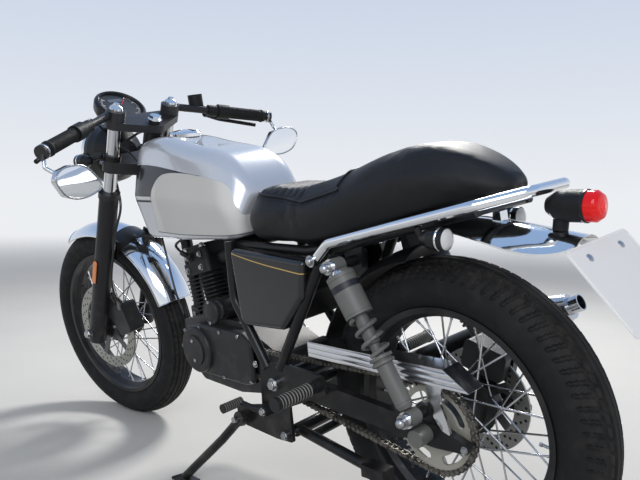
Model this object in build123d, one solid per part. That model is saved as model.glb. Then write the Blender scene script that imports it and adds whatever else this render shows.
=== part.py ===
from build123d import *
import os
from math import acos, atan2, cos, degrees, hypot, pi, radians, sin, sqrt

# A cafe racer motorcycle. Millimetres and degrees.
# It is drawn upright with its wheels in line: X forward from the rear axle, Y to the rider's left,
# Z up from the ground. At the end its fork is turned to rest_steer and the whole machine leans on
# its side stand.

# Main sizes
wheel_base = 1325.0
lean = 8.5
rest_steer = 8.0
rake = 24.3
fork_offset = 50.0
plain_gap = 0.3
left_reach = 57.4

# Wheels
rear_tyre_r = 315.0
rear_tyre_half = 60.0
rear_rim_r = 220.0
rear_bead_half = 44.0
front_tyre_r = 319.0
front_tyre_half = 52.0
front_rim_r = 233.0
front_bead_half = 36.0
spoke_count = 36
spoke_r = 2.0
spoke_lace = 62.0
axle_r = 8.0
axle_clearance = 0.05
hub_r = 48.0
hub_flange_r = 58.0
seat_r = 34.0
front_flange_y = 34.0
rear_flange_y = 38.0

# Brakes
front_disc_r = 138.0
front_disc_y = 60.5
rear_disc_r = 110.0
rear_disc_y = -76.0
disc_thick = 4.5

# Chain drive
chain_pitch = 12.7
roller_r = 4.2
rear_teeth = 44
drive_teeth = 15
link_count = 118
chain_y = 84.0
chain_plate = 1.6
chain_inner_half = 3.9
chain_band = 5.2
drive_z = 345.0
sprocket_thick = 6.0
tooth_thick = 3.0
tooth_rise = 3.0

# Fork, measured up the fork tubes from the front axle
fork_half = 97.0
stanchion_r = 18.0
leg_r = 28.0
leg_top = 490.0
clamp_low = 560.0
clamp_low_thick = 34.0
clamp_top = 690.0
clamp_top_thick = 22.0
clamp_ring_r = 25.0
stanchion_top = 746.0
stem_r = 15.0
stem_clearance = 0.05
head_tube_r = 27.0

# Handlebars: from the clip-on ring to the bar end, left side
bar_start = (1026.5, 118.0, 983.5)
bar_end = (919.0, 392.0, 918.0)
bar_r = 11.0
grip_r = 17.0

# Frame
spine_r = 20.0
tube_r = 12.0
side_tube_y = 128.0
side_tube_top_y = 112.0
cross_x = 545.0
cross_z = 636.5
cross_r = 14.0
seat_rail_y = 88.0
seat_rail_r = 11.0
seat_cross_r = 9.0
seat_crosses = ((300.0, 637.0), (100.0, 678.0), (-110.0, 730.0))
frame_plate_half = 4.0
pivot_x = 400.0
pivot_z = 335.0
pivot_r = 9.0
arm_y = 95.0
arm_thick = 18.0

mudguard_clearance = 26.0
fender_clearance = 16.0

# Shock absorbers
shock_y = 148.0
shock_low = (5.0, 357.0)
shock_top = (165.0, 628.0)
shock_eye_r = 16.0
shock_eye_half = 15.0
# distances up the shock from its lower eye
spring_seat = 106.0
spring_start = 124.0
spring_end = 209.0
spring_wire = 4.0
spring_r = 22.0
spring_turns = 3
coil_steps = 16

# Stands, in the upright machine
stand_pivot = (533.0, 147.0, 222.0)
stand_foot_ahead = 182.0
stand_foot_out = 60.0
stand_leg_r = 11.0
stand_axis_tilt = 11.5
centre_pivot = (385.0, 214.0)
centre_leg = 245.0
centre_half = 92.0
centre_bolt_r = 8.0
stand_bolt_r = 7.0

# Number plate
plate_width = 220.0
plate_height = 160.0
plate_tilt = 41.0
plate_top = (-281.0, 677.0)
plate_thick = 1.5

# Worked out from the sizes above
trail = (front_tyre_r * sin(radians(rake)) - fork_offset) / cos(radians(rake))
steer_foot = (wheel_base + trail, 0.0, 0.0)
rear_axle = (0.0, 0.0, rear_tyre_r)
front_axle = (wheel_base, 0.0, front_tyre_r)
fork_ahead = (cos(radians(rake)), 0.0, sin(radians(rake)))
fork_up = (-sin(radians(rake)), 0.0, cos(radians(rake)))

# FORK holds the fork's own directions: x ahead, y left, z up the fork from the front axle
FORK = Location(Plane(origin=front_axle, x_dir=fork_ahead, z_dir=fork_up))
STEER_AXIS = Location(Plane(origin=steer_foot, x_dir=fork_ahead, z_dir=fork_up))
STEER = STEER_AXIS * Rot(0, 0, rest_steer) * STEER_AXIS.inverse()


def leant(location):
    """Where a place in the upright machine comes to when the machine leans."""
    return Rot(-lean, 0, 0) * location


def tyre_low(tyre_centre, tyre_r, half):
    """Height of a leaning tyre's lowest point. tyre_centre holds the wheel's place and directions."""
    across = (tyre_centre * Pos(0, 1, 0)).position - tyre_centre.position
    return tyre_centre.position.Z - (tyre_r - half) * sqrt(1 - across.Z**2) - half


rear_low = tyre_low(leant(Pos(*rear_axle)), rear_tyre_r, rear_tyre_half)
front_low = tyre_low(leant(STEER * Pos(*front_axle)), front_tyre_r, front_tyre_half)
nose_down = degrees(atan2(front_low - rear_low, wheel_base))
plate_rear = plate_top[0] - plate_height * sin(radians(plate_tilt))
origin_x = (wheel_base + front_tyre_r + plate_rear) / 2
origin_y = (rear_tyre_r + front_tyre_r) / 2 * sin(radians(lean)) + left_reach

# STAND puts the upright machine on its tyres and side stand, with the origin below its middle
STAND = Pos(-origin_x, -origin_y, -rear_low) * Rot(0, nose_down, 0) * Rot(-lean, 0, 0)


def floor_below(x, y, above):
    """Point of the upright machine at x and y that stands at a given height above the floor."""
    low = (STAND * Pos(x, y, 0)).position.Z
    rise = (STAND * Pos(x, y, 1)).position.Z - low
    return (x, y, (above - low) / rise)


def rod(start, end, radius):
    """Round bar from one point to another."""
    a = Vector(*start)
    b = Vector(*end)
    return Solid.make_cylinder(radius, (b - a).length, Plane(origin=a, z_dir=b - a))


def tube(points, radius, bend):
    """Round bar along straight runs, with bends of one radius."""
    path = Line(*points) if len(points) == 2 else FilletPolyline(*points, radius=bend)
    return sweep(Plane(origin=path @ 0, z_dir=path % 0) * Circle(radius), path=path)


def pin_y(x, z, radius, y0, y1):
    """Round bar across the machine."""
    return Solid.make_cylinder(radius, abs(y1 - y0), Plane(origin=(x, min(y0, y1), z), z_dir=(0, 1, 0)))


def plate_y(points, radii, y0, y1):
    """Flat piece with its outline in X and Z, from y0 to y1."""
    face = make_face(FilletPolyline(*points, radius=radii, close=True))
    place = Plane(origin=(0, max(y0, y1), 0), x_dir=(1, 0, 0), z_dir=(0, -1, 0))
    return extrude(place * face, amount=abs(y1 - y0), dir=(0, -1, 0))


def turned(face, x, z, arc=360):
    """Body of revolution about a cross axis, from a face in radius and y."""
    return Pos(x, 0, z) * revolve(face, Axis.Y, arc)


def mirrored(shape):
    return mirror(shape, about=Plane.XZ)


def together(*shapes):
    """One solid from pieces that run into each other."""
    return shapes[0].fuse(*shapes[1:])


def apart(*shapes):
    """Several solids that share a node."""
    return Compound([solid for shape in shapes for solid in shape.solids()])


def both_sides(shape):
    return apart(shape, mirrored(shape))


def hexagon_section(half_low, half_mid, half_top, height, low_r, mid_r, top_r):
    """Closed outline of a tank or seat across the machine: narrower below and rounded above."""
    middle = 0.45 * height
    points = [
        (-half_low, 0),
        (half_low, 0),
        (half_mid, middle),
        (half_top, height),
        (-half_top, height),
        (-half_mid, middle),
    ]
    radii = [low_r, low_r, mid_r, top_r, top_r, mid_r]
    return make_face(FilletPolyline(*points, radius=radii, close=True))


# Wheels


def tyre(tyre_r, half, rim_r, bead_half, x, z):
    """Tyre with a half-round crown and side walls that close in to the rim."""
    shoulder = tyre_r - half
    wall_r = (shoulder + rim_r) / 2
    wall_y = half - (half - bead_half) * 0.3
    crown = ThreePointArc((shoulder, -half), (tyre_r, 0), (shoulder, half))
    wall = ThreePointArc((shoulder, half), (wall_r, wall_y), (rim_r + 4, bead_half))
    seat = Polyline(
        (rim_r + 4, bead_half),
        (rim_r - 4, bead_half - 6),
        (rim_r - 4, 6 - bead_half),
        (rim_r + 4, -bead_half),
    )
    far_wall = ThreePointArc((rim_r + 4, -bead_half), (wall_r, -wall_y), (shoulder, -half))
    return turned(make_face([crown, wall, seat, far_wall]), x, z)


def rim(rim_r, bead_half, x, z):
    """Drop-centre rim with lips outside the tyre's beads."""
    well_r = rim_r - 16
    half = [
        (well_r, 0),
        (well_r, bead_half - 20),
        (rim_r - 4, bead_half - 14),
        (rim_r - 4, bead_half - 6),
        (rim_r + 4, bead_half),
        (rim_r + 4, bead_half + 4),
        (rim_r - 8, bead_half + 4),
        (rim_r - 9, bead_half - 12),
        (well_r - 4, bead_half - 22),
        (well_r - 4, 0),
    ]
    far = [(r, -y) for r, y in reversed(half)][1:-1]
    return turned(make_face(Polyline(*half, *far, close=True)), x, z)


def spokes(rim_r, flange_y, x, z):
    """Laced spokes, from the hub's flanges to the rim's well. They alternate in side and slant."""
    well_r = rim_r - 19
    hole_r = hub_flange_r - 6
    bars = []
    for number in range(spoke_count):
        side = 1 if number % 2 else -1
        slant = 1 if number // 2 % 2 else -1
        out = radians(number * 360 / spoke_count)
        back = out + slant * radians(spoke_lace)
        hub_end = (x + hole_r * cos(back), side * flange_y, z + hole_r * sin(back))
        rim_end = (x + well_r * cos(out), side * 6, z + well_r * sin(out))
        bars.append(rod(hub_end, rim_end, spoke_r))
    return bars


def hub(flange_y, left_seat, left_end, right_seat, right_end, x, z):
    """Hub with two spoke flanges and a seat for a disc or sprocket at each side, bored for its axle."""
    bore = axle_r + axle_clearance
    flange = 4.0
    waist_r = hub_r - 8
    outline = [
        (bore, right_end),
        (seat_r, right_end),
        (seat_r, right_seat),
        (hub_r, right_seat),
        (hub_r, -flange_y - flange),
        (hub_flange_r, -flange_y - flange),
        (hub_flange_r, -flange_y),
        (waist_r, 8 - flange_y),
        (waist_r, flange_y - 8),
        (hub_flange_r, flange_y),
        (hub_flange_r, flange_y + flange),
        (hub_r, flange_y + flange),
        (hub_r, left_seat),
        (seat_r, left_seat),
        (seat_r, left_end),
        (bore, left_end),
    ]
    return turned(make_face(Polyline(*outline, close=True)), x, z)


def wire_wheel(rim_r, bead_half, flange_y, seats, x, z):
    """Rim and hub joined by their spokes. seats are the hub's left seat and end, then its right ones."""
    hoop = rim(rim_r, bead_half, x, z)
    return together(hoop, hub(flange_y, *seats, x, z), *spokes(rim_r, flange_y, x, z))


def flat_y(face, x, z, y0, y1):
    """Flat piece from a face in X and Z about a centre, from y0 to y1."""
    place = Plane(origin=(x, max(y0, y1), z), x_dir=(1, 0, 0), z_dir=(0, -1, 0))
    return extrude(place * face, amount=abs(y1 - y0), dir=(0, -1, 0))


def brake_disc(radius, y, x, z):
    """Brake disc whose swept ring is joined by five arms to a centre that seats on the hub."""
    inner = radius - 34
    face = Circle(radius) - Circle(inner)
    arm = Pos((inner + seat_r) / 2, 0) * Rot(0, 0, 12) * Rectangle(inner - seat_r + 12, 18)
    for number in range(5):
        face += Rot(0, 0, number * 72) * arm
    face += Circle(hub_r - 1)
    face -= Circle(seat_r + plain_gap)
    return flat_y(face, x, z, y - disc_thick / 2, y + disc_thick / 2)


def front_wheel_parts():
    x, _, z = front_axle
    seat = front_disc_y - disc_thick / 2
    seats = (seat, seat + 6, -front_flange_y - 14, -front_flange_y - 28)
    return {
        "front_tyre": tyre(front_tyre_r, front_tyre_half, front_rim_r, front_bead_half, x, z),
        "front_wheel": wire_wheel(front_rim_r, front_bead_half, front_flange_y, seats, x, z),
        "front_disc": brake_disc(front_disc_r, front_disc_y, x, z),
    }


# Chain drive


def pitch_radius(teeth):
    return chain_pitch / 2 / sin(pi / teeth)


rear_pitch_r = pitch_radius(rear_teeth)
drive_pitch_r = pitch_radius(drive_teeth)


def loop_length(distance):
    """Length of a chain round both sprockets, and the angle at which it leaves them."""
    leave = acos((rear_pitch_r - drive_pitch_r) / distance)
    straight = sqrt(distance**2 - (rear_pitch_r - drive_pitch_r) ** 2)
    return rear_pitch_r * 2 * (pi - leave) + drive_pitch_r * 2 * leave + 2 * straight, leave


def sprocket_distance():
    """Distance between the sprockets at which a whole number of links just fits."""
    near, far = rear_pitch_r, link_count * chain_pitch
    for _ in range(60):
        middle = (near + far) / 2
        if loop_length(middle)[0] < link_count * chain_pitch:
            near = middle
        else:
            far = middle
    return near


drive_distance = sprocket_distance()
drive_x = sqrt(drive_distance**2 - (drive_z - rear_tyre_r) ** 2)
chain_slope = atan2(drive_z - rear_tyre_r, drive_x)
chain_leave = loop_length(drive_distance)[1]


def chain_point(place):
    """Centre line of the chain in X and Z, by distance from its rearmost point over the top."""
    rear_arc = rear_pitch_r * (pi - chain_leave)
    straight = sqrt(drive_distance**2 - (rear_pitch_r - drive_pitch_r) ** 2)
    drive_arc = drive_pitch_r * 2 * chain_leave
    lower = place > rear_arc + straight + drive_arc / 2
    if lower:
        place = link_count * chain_pitch - place
    if place < rear_arc:
        turn = pi - place / rear_pitch_r
        along, up = rear_pitch_r * cos(turn), rear_pitch_r * sin(turn)
    elif place < rear_arc + straight:
        share = (place - rear_arc) / straight
        radius = rear_pitch_r + (drive_pitch_r - rear_pitch_r) * share
        along = radius * cos(chain_leave) + drive_distance * share
        up = radius * sin(chain_leave)
    else:
        turn = chain_leave - (place - rear_arc - straight) / drive_pitch_r
        along = drive_distance + drive_pitch_r * cos(turn)
        up = drive_pitch_r * sin(turn)
    if lower:
        up = -up
    slope = chain_slope
    return (along * cos(slope) - up * sin(slope), rear_tyre_r + along * sin(slope) + up * cos(slope))


def chain_belt(grow, y0, y1):
    """Solid bounded by the chain's loop, moved outwards by grow."""
    rear = (0.0, rear_tyre_r, rear_pitch_r + grow)
    drive = (drive_x, drive_z, drive_pitch_r + grow)
    up = chain_slope + chain_leave
    down = chain_slope - chain_leave

    def on(circle, turn):
        return (circle[0] + circle[2] * cos(turn), circle[1] + circle[2] * sin(turn))

    back = chain_slope + pi
    edges = [
        ThreePointArc(on(rear, up), on(rear, back), on(rear, down)),
        Line(on(rear, down), on(drive, down)),
        ThreePointArc(on(drive, down), on(drive, chain_slope), on(drive, up)),
        Line(on(drive, up), on(rear, up)),
    ]
    place = Plane(origin=(0, y1, 0), x_dir=(1, 0, 0), z_dir=(0, -1, 0))
    return extrude(place * make_face(edges), amount=y1 - y0, dir=(0, -1, 0))


def chain():
    """Two rows of side plates joined by a roller at each pitch. On the sprocket each roller is open in
    its middle, so that the teeth turn freely in a chain that stands still."""
    outer = chain_inner_half + chain_plate
    pieces = []
    for y0, y1 in ((-outer, -chain_inner_half), (chain_inner_half, outer)):
        band = chain_belt(chain_band, chain_y + y0, chain_y + y1)
        pieces.append(band - chain_belt(-chain_band, chain_y + y0, chain_y + y1))
    tooth_room = tooth_thick / 2 + plain_gap
    whole = [(-chain_inner_half, chain_inner_half)]
    split = [(-chain_inner_half, -tooth_room), (tooth_room, chain_inner_half)]
    toothed_r = rear_pitch_r + tooth_rise + roller_r + 1
    for number in range(link_count):
        x, z = chain_point((number + 0.5) * chain_pitch)
        for y0, y1 in split if hypot(x, z - rear_tyre_r) < toothed_r else whole:
            roller = extrude(RegularPolygon(roller_r, 6), amount=y1 - y0)
            place = Plane(origin=(x, chain_y + y0, z), z_dir=(0, 1, 0))
            pieces.append(Location(place) * roller)
    return together(*pieces)


def rear_sprocket():
    """Toothed ring with its teeth between the chain's rollers, and kidney-shaped windows in its web."""
    root_r = rear_pitch_r - roller_r - 0.8
    tip_r = rear_pitch_r + tooth_rise
    points = []
    for number in range(rear_teeth):
        middle = chain_slope + pi + number * 2 * pi / rear_teeth
        for radius, off in ((root_r, -0.26), (tip_r, -0.07), (tip_r, 0.07), (root_r, 0.26)):
            turn = middle + off * 2 * pi / rear_teeth
            points.append((radius * cos(turn), radius * sin(turn)))
    open_parts = Circle(seat_r + plain_gap)
    for number in range(4):
        open_parts += SlotArc(CenterArc((0, 0), 64, number * 90 + 20, 50), 18)
    teeth = make_face(Polyline(*points, close=True)) - open_parts
    web = Circle(root_r - 1) - open_parts
    pieces = []
    for face, thick in ((teeth, tooth_thick), (web, sprocket_thick)):
        pieces.append(flat_y(face, 0, rear_tyre_r, chain_y - thick / 2, chain_y + thick / 2))
    return together(*pieces)


def rear_wheel_parts():
    x, _, z = rear_axle
    left_seat = chain_y - sprocket_thick / 2
    right_seat = rear_disc_y + disc_thick / 2
    seats = (left_seat, left_seat + 9, right_seat, right_seat - disc_thick - 6)
    return {
        "rear_tyre": tyre(rear_tyre_r, rear_tyre_half, rear_rim_r, rear_bead_half, x, z),
        "rear_wheel": wire_wheel(rear_rim_r, rear_bead_half, rear_flange_y, seats, x, z),
        "rear_disc": brake_disc(rear_disc_r, rear_disc_y, x, z),
        "rear_sprocket": rear_sprocket(),
    }


# Frame


def along_stem(distance):
    """Point of the steering axis at a distance up the fork."""
    return (FORK * Pos(-fork_offset, 0, distance)).position


spine_path = [(900, 0, 798), (700, 0, 692), (545, 0, 640)]


def frame_main():
    """Head tube, spine over the engine and down tube in front of it."""
    low = clamp_low + clamp_low_thick + 3
    high = clamp_top - 3
    head = FORK * Pos(-fork_offset, 0, low) * extrude(Circle(head_tube_r), amount=high - low)
    bore = FORK * Pos(-fork_offset, 0, low - 5) * extrude(Circle(stem_r + stem_clearance), amount=high - low + 10)
    spine = tube([tuple(along_stem(high - 30)), *spine_path], spine_r, 60)
    down = tube([tuple(along_stem(low + 40)), (962, 0, 820), (905, 0, 640), (880, 0, 500), (864, 0, 400)], 17, 60)
    engine_ear = plate_y([(846, 385), (882, 380), (886, 430), (846, 420)], 6, -20, 20)
    reach = side_tube_top_y - tube_r - plain_gap
    cross = pin_y(cross_x, cross_z, cross_r, -reach, reach)
    return together(head, spine, down, engine_ear, cross) - bore


front_tube_path = [(cross_x, side_tube_top_y, 648), (537, 120, 511), (pivot_x + 30, side_tube_y, pivot_z + 30)]
rear_tube_path = [(228, side_tube_top_y, 646), (262, 116, 586), (pivot_x - 14, side_tube_y, pivot_z + 36)]


def frame_side(side):
    """Tubes and pivot plate of one side of the frame."""
    y = side_tube_y
    front = tube(front_tube_path, tube_r, 60)
    rear = tube(rear_tube_path, tube_r, 80)
    outline = [
        (455, 372),
        (372, 386),
        (250, 380),
        (242, 342),
        (365, 285),
        (364, 200),
        (420, 196),
        (562, 202),
        (562, 244),
        (462, 268),
    ]
    plate = plate_y(outline, 6, y - frame_plate_half, y + frame_plate_half)
    piece = together(front, rear, plate) - pin_y(pivot_x, pivot_z, pivot_r, 0, 200)
    piece -= pin_y(centre_pivot[0], centre_pivot[1], centre_bolt_r, 0, 200)
    if side > 0:
        return piece - stand_bolt()
    return mirrored(piece)


def seat_frame():
    """Rails under the seat, with the cross pieces that join them and the upper shock mounts."""
    y = seat_rail_y
    start_x = cross_x - cross_r - plain_gap
    path = [(start_x, y, cross_z), (300, y, 637), (188, y, 655), (9, y, 702), (-120, y, 733)]
    rail = tube(path, seat_rail_r, 60)
    pieces = [rail, mirrored(rail)]
    for x, z in seat_crosses:
        pieces.append(pin_y(x, z, seat_cross_r, -y, y))
    x, z = shock_top
    for side in (-1, 1):
        pieces.append(rod((229, side * y, 643), (229, side * (side_tube_top_y - tube_r - plain_gap), 643), 8))
        outline = [(x - 20, z - 14), (x + 20, z - 14), (x + 30, z + 30), (x - 24, z + 34)]
        pieces.append(plate_y(outline, 6, side * (y - 4), side * (y + 6)))
        pieces.append(pin_y(x, z, 11, side * y, side * (shock_y - shock_eye_half - plain_gap)))
    return together(*pieces)


def seat_rail():
    """Polished rail from the frame round the back of the seat."""
    y = 137.0
    left = [(232, y, 632), (192, y, 668), (9, 135, 712), (-131, 122, 745), (-205, 60, 762)]
    path = left + [(x, -side, z) for x, side, z in reversed(left)]
    bar = tube(path, 10, 30)
    feet = [pin_y(232, 632, 12, side * (side_tube_top_y + tube_r + 2), side * (y + 14)) for side in (-1, 1)]
    return together(bar, *feet)


# Bodywork


def lofted(table):
    """Smooth body through sections that stand across the machine."""
    sections = []
    for x0, z0, x1, z1, half_low, half_mid, half_top, low_r, mid_r, top_r in table:
        height = hypot(x1 - x0, z1 - z0)
        up = ((x1 - x0) / height, 0, (z1 - z0) / height)
        section = hexagon_section(half_low, half_mid, half_top, height, low_r, mid_r, top_r)
        place = Plane(origin=(x0, 0, z0), x_dir=(0, 1, 0), z_dir=(up[2], 0, -up[0]))
        sections.append(place * section)
    return loft(sections)


cap_place = Location(Plane(origin=(842, 0, 899), x_dir=(1, 0, 0), z_dir=(-0.03, 0, 1)))


def fuel_tank():
    """Tank with a tunnel over the frame's spine. Its nose ends behind the clamps at full lock."""
    # lower x and z, upper x and z, half widths low, middle and top, corner radii low, middle and top
    table = [
        (506, 668, 496, 752, 82, 98, 60, 14, 40, 22),
        (520, 656, 520, 802, 104, 119, 76, 16, 60, 36),
        (556, 650, 566, 842, 114, 127, 86, 18, 80, 46),
        (660, 645, 680, 872, 119, 132, 90, 18, 90, 52),
        (790, 640, 815, 899, 118, 132, 84, 18, 90, 54),
        (885, 638, 925, 902, 112, 127, 76, 18, 80, 50),
        (905, 640, 968, 892, 108, 122, 68, 18, 66, 44),
        (922, 648, 998, 866, 92, 106, 52, 16, 46, 32),
    ]
    body = lofted(table)
    over = spine_r + 12
    roof = [(960, 1000), (960, 900), (900, 798 + over), (700, 692 + over), (545, 640 + over), (470, 660), (470, 600)]
    tunnel = plate_y([*roof, (1100, 600), (1100, 1000)], 0, -over, over)
    head_room = FORK * Pos(-fork_offset, 0, 500) * extrude(Circle(head_tube_r + 12), amount=400)
    body -= tunnel
    body -= head_room
    return body - cap_place * extrude(Circle(46), amount=60)


def fuel_cap():
    """Round filler cap with a raised rim and a shallow dome."""
    profile = [(0, plain_gap), (44, plain_gap), (44, 9), (39, 15), (14, 20), (0, 21)]
    return cap_place * revolve(turned_out(profile), Axis.Z)


def seat():
    # lower x and z, upper x and z, half widths low, middle and top, corner radii low, middle and top
    table = [
        (486, 684, 484, 742, 64, 74, 44, 12, 30, 16),
        (462, 658, 462, 768, 106, 121, 76, 16, 50, 30),
        (380, 655, 380, 768, 118, 130, 88, 16, 60, 34),
        (281, 654, 281, 776, 122, 132, 90, 16, 60, 36),
        (190, 668, 190, 799, 116, 128, 82, 16, 60, 40),
        (100, 692, 100, 829, 106, 119, 72, 16, 60, 42),
        (17, 714, 17, 845, 96, 109, 62, 16, 60, 40),
        (-70, 735, -70, 832, 80, 92, 50, 14, 50, 32),
        (-130, 750, -130, 802, 56, 66, 34, 9, 22, 18),
        (-162, 757, -162, 776, 26, 31, 16, 3, 7, 6),
    ]
    return lofted(table)


def side_cover():
    """Cover below the seat, with a crease near its top."""
    outline = [(515, 638), (268, 626), (280, 545), (352, 466), (500, 458)]
    panel = plate_y(outline, [14, 10, 16, 18, 22], 106, 140)
    face = panel.faces().sort_by(Axis.Y)[-1]
    panel = fillet(face.edges(), 12)
    wedge = Plane(origin=(400, 140, 600), x_dir=(1, 0, 0), z_dir=(0, 0.94, 0.34))
    panel -= Location(wedge) * Pos(0, 50, 25) * Box(500, 100, 50)
    for path in (front_tube_path, rear_tube_path):
        panel -= tube(path, tube_r + plain_gap, 60)
    return panel


def battery_box():
    outline = [(500, 470), (500, 610), (290, 610), (296, 550), (360, 470)]
    return plate_y(outline, 10, -88, 88)


# Engine


def crankcase():
    """Crankcase with sump and the bosses that hang it in the frame."""
    outline = [
        (835, 290),
        (845.5, 330),
        (845.5, 410),
        (820, 440),
        (700, 452),
        (680, 434),
        (600, 432),
        (520, 400),
        (452, 372),
        (452, 320),
        (520, 262),
        (620, 244),
        (780, 248),
    ]
    case = plate_y(outline, [24, 12, 12, 12, 8, 8, 20, 16, 10, 10, 24, 16, 24], -70, 70)
    return case - CYLINDER * Pos(0, 0, 100 - plain_gap) * Box(200, 200, 200)


def engine_covers():
    """Covers on both sides of the crankcase. The left one opens to the rear for the chain."""
    y = 70.0
    left_outline = [(820, 345), (800, 400), (730, 418), (560, 418), (520, 395), (520, 296), (560, 284), (770, 282)]
    left = plate_y(left_outline, [30, 30, 20, 20, 14, 14, 20, 40], y, y + 34)
    left = fillet(left.faces().sort_by(Axis.Y)[-1].edges(), 10)
    drum = pin_y(742, 348, 62, y, y + 46)
    drum = fillet(drum.faces().sort_by(Axis.Y)[-1].edges(), 8)
    cap = pin_y(742, 348, 40, y + 40, y + 50)
    left = together(left, drum, cap) - chain_belt(14, chain_y - 12, chain_y + 12)
    right_outline = [(815, 340), (790, 400), (720, 425), (590, 425), (540, 380), (545, 300), (600, 262), (760, 262)]
    right = plate_y(right_outline, 30, -y - 40, -y)
    right = fillet(right.faces().sort_by(Axis.Y)[0].edges(), 12)
    clutch = pin_y(650, 345, 66, -y - 52, -y)
    clutch = fillet(clutch.faces().sort_by(Axis.Y)[0].edges(), 8)
    return apart(left, together(right, clutch))


# The cylinder leans forward from the crankcase
cylinder_lean = 15.0
CYLINDER = Pos(752, 0, 432) * Rot(0, cylinder_lean, 0)


def cylinder():
    """Barrel with cooling fins."""
    pieces = [extrude(Circle(42), amount=106)]
    for number in range(9):
        fin = extrude(RectangleRounded(124, 124, 18), amount=3)
        pieces.append(Pos(0, 0, 10 + number * 10.5) * fin)
    return CYLINDER * together(*pieces)


port_start = (40, -14, 127)
port_end = (74, -40, 118.5)
inlet_end = (-74, 0, 132)


def beyond(start, end, distance):
    """Point at a distance past the end of a line."""
    a = Vector(*start)
    b = Vector(*end)
    return tuple(b + (b - a).normalized() * distance)


def cylinder_head():
    """Head with a rocker box and the ports at front and rear."""
    base = Pos(0, 0, 106 + plain_gap) * extrude(RectangleRounded(116, 118, 16), amount=34)
    box = Pos(0, 0, 140) * extrude(RectangleRounded(96, 104, 24), amount=34)
    cover = Pos(0, 0, 174) * extrude(RectangleRounded(84, 92, 22), amount=10)
    port = rod(port_start, port_end, 20)
    inlet = rod((-40, 0, 132), inlet_end, 20)
    return CYLINDER * together(base, box, cover, port, inlet)


def carburettor():
    """Carburettor behind the head, with its trunking to the air box."""
    x, _, z = inlet_end
    body = CYLINDER * rod((x - plain_gap, 0, z), (x - 62, 0, z), 25)
    middle = CYLINDER * Pos(x - 32, 0, z)
    px, _, pz = tuple(middle.position)
    bowl = Solid.make_cylinder(23, 60, Plane(origin=(px, 0, pz - 62), z_dir=(0, 0, 1)))
    dome = Solid.make_cylinder(21, 42, Plane(origin=(px, 0, pz), z_dir=(0, 0, 1)))
    start = (CYLINDER * Pos(x - 56, 0, z)).position
    trunk = tube([tuple(start), (560, 0, start.Z + 8), (500 + plain_gap, 0, start.Z - 16)], 22, 40)
    return together(body, bowl, dome, trunk) - battery_box()


def starter():
    """Starter motor behind the cylinder, with its end cap to the left."""
    body = pin_y(652, 462.6, 29, -60, 84)
    cap = pin_y(652, 462.6, 26, 80, 96)
    return together(body, fillet(cap.faces().sort_by(Axis.Y)[-1].edges(), 4))


silencer_front = (400, -186, 226)
silencer_rear = (-128, -220, 492)


def exhaust_header():
    """Pipe from the head's port, past the right of the down tube and under the engine."""
    start = CYLINDER * Pos(*beyond(port_start, port_end, plain_gap))
    turn = CYLINDER * Pos(*beyond(port_start, port_end, 42))
    path = [
        tuple(start.position),
        tuple(turn.position),
        (902, -76, 430),
        (882, -86, 300),
        (800, -106, 222),
        (600, -140, 220),
        beyond(silencer_rear, silencer_front, 80),
        beyond(silencer_rear, silencer_front, 26 + plain_gap),
    ]
    return tube(path, 17, 20)


def silencer():
    """Tapered silencer that rises to a small round outlet."""
    front = Vector(*silencer_front)
    rear = Vector(*silencer_rear)
    length = (rear - front).length
    profile = [(0, -26), (19, -26), (19, 0), (38, 60), (38, length - 40), (26, length), (18, length)]
    profile += [(18, length + 24), (15, length + 24), (15, length - 20), (0, length - 20)]
    body = revolve(turned_out(profile), Axis.Z)
    return Location(Plane(origin=front, z_dir=rear - front)) * body


# Rear suspension


def swingarm():
    """Fork that carries the rear axle, turning on the pivot bolt."""
    arm_outline = [(pivot_x + 26, pivot_z), (pivot_x, pivot_z + 26), (60, 338), (-20, 336), (-92, 312), (-92, 296)]
    arm_outline += [(-20, 290), (60, 292), (pivot_x, pivot_z - 26)]
    arm = plate_y(arm_outline, [16, 16, 20, 10, 6, 6, 10, 20, 16], arm_y, arm_y + arm_thick)
    x, z = shock_low
    ear = pin_y(x, z, 12, arm_y + 6, shock_y - shock_eye_half - plain_gap)
    lug_outline = [(x - 26, 326), (x + 26, 326), (x + 14, z + 12), (x - 14, z + 12)]
    lug = plate_y(lug_outline, 5, arm_y + 2, arm_y + arm_thick - 2)
    pieces = []
    for shape in (arm, ear, lug):
        pieces.append(shape)
        pieces.append(mirrored(shape))
    pieces.append(pin_y(pivot_x, pivot_z, 22, -arm_y - 2, arm_y + 2))
    pieces.append(pin_y(rear_tyre_r + 30, pivot_z - 4, 14, -arm_y - 2, arm_y + 2))
    body = together(*pieces)
    body -= pin_y(pivot_x, pivot_z, pivot_r, -200, 200)
    return body - pin_y(0, rear_tyre_r, axle_r, -200, 200)


def pivot_bolt():
    reach = side_tube_y + frame_plate_half
    bolt = pin_y(pivot_x, pivot_z, pivot_r, -reach - 12, reach + 12)
    heads = [pin_y(pivot_x, pivot_z, 15, side * (reach + plain_gap), side * (reach + 12)) for side in (-1, 1)]
    return together(bolt, *heads)


def rear_axle_bar():
    reach = arm_y + arm_thick
    bar = pin_y(0, rear_tyre_r, axle_r, -reach - 16, reach + 16)
    cap = pin_y(0, rear_tyre_r, 17, reach + plain_gap, reach + 34)
    nut = pin_y(0, rear_tyre_r, 14, -reach - 16, -reach - plain_gap)
    return together(bar, cap, nut)


def shock_place(side):
    """Directions of a shock: origin at its lower eye, z up to its top one."""
    low = Vector(shock_low[0], side * shock_y, shock_low[1])
    top = Vector(shock_top[0], side * shock_y, shock_top[1])
    return Location(Plane(origin=low, x_dir=(0, 1, 0), z_dir=top - low))


shock_length = hypot(shock_top[0] - shock_low[0], shock_top[1] - shock_low[1])


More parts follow.
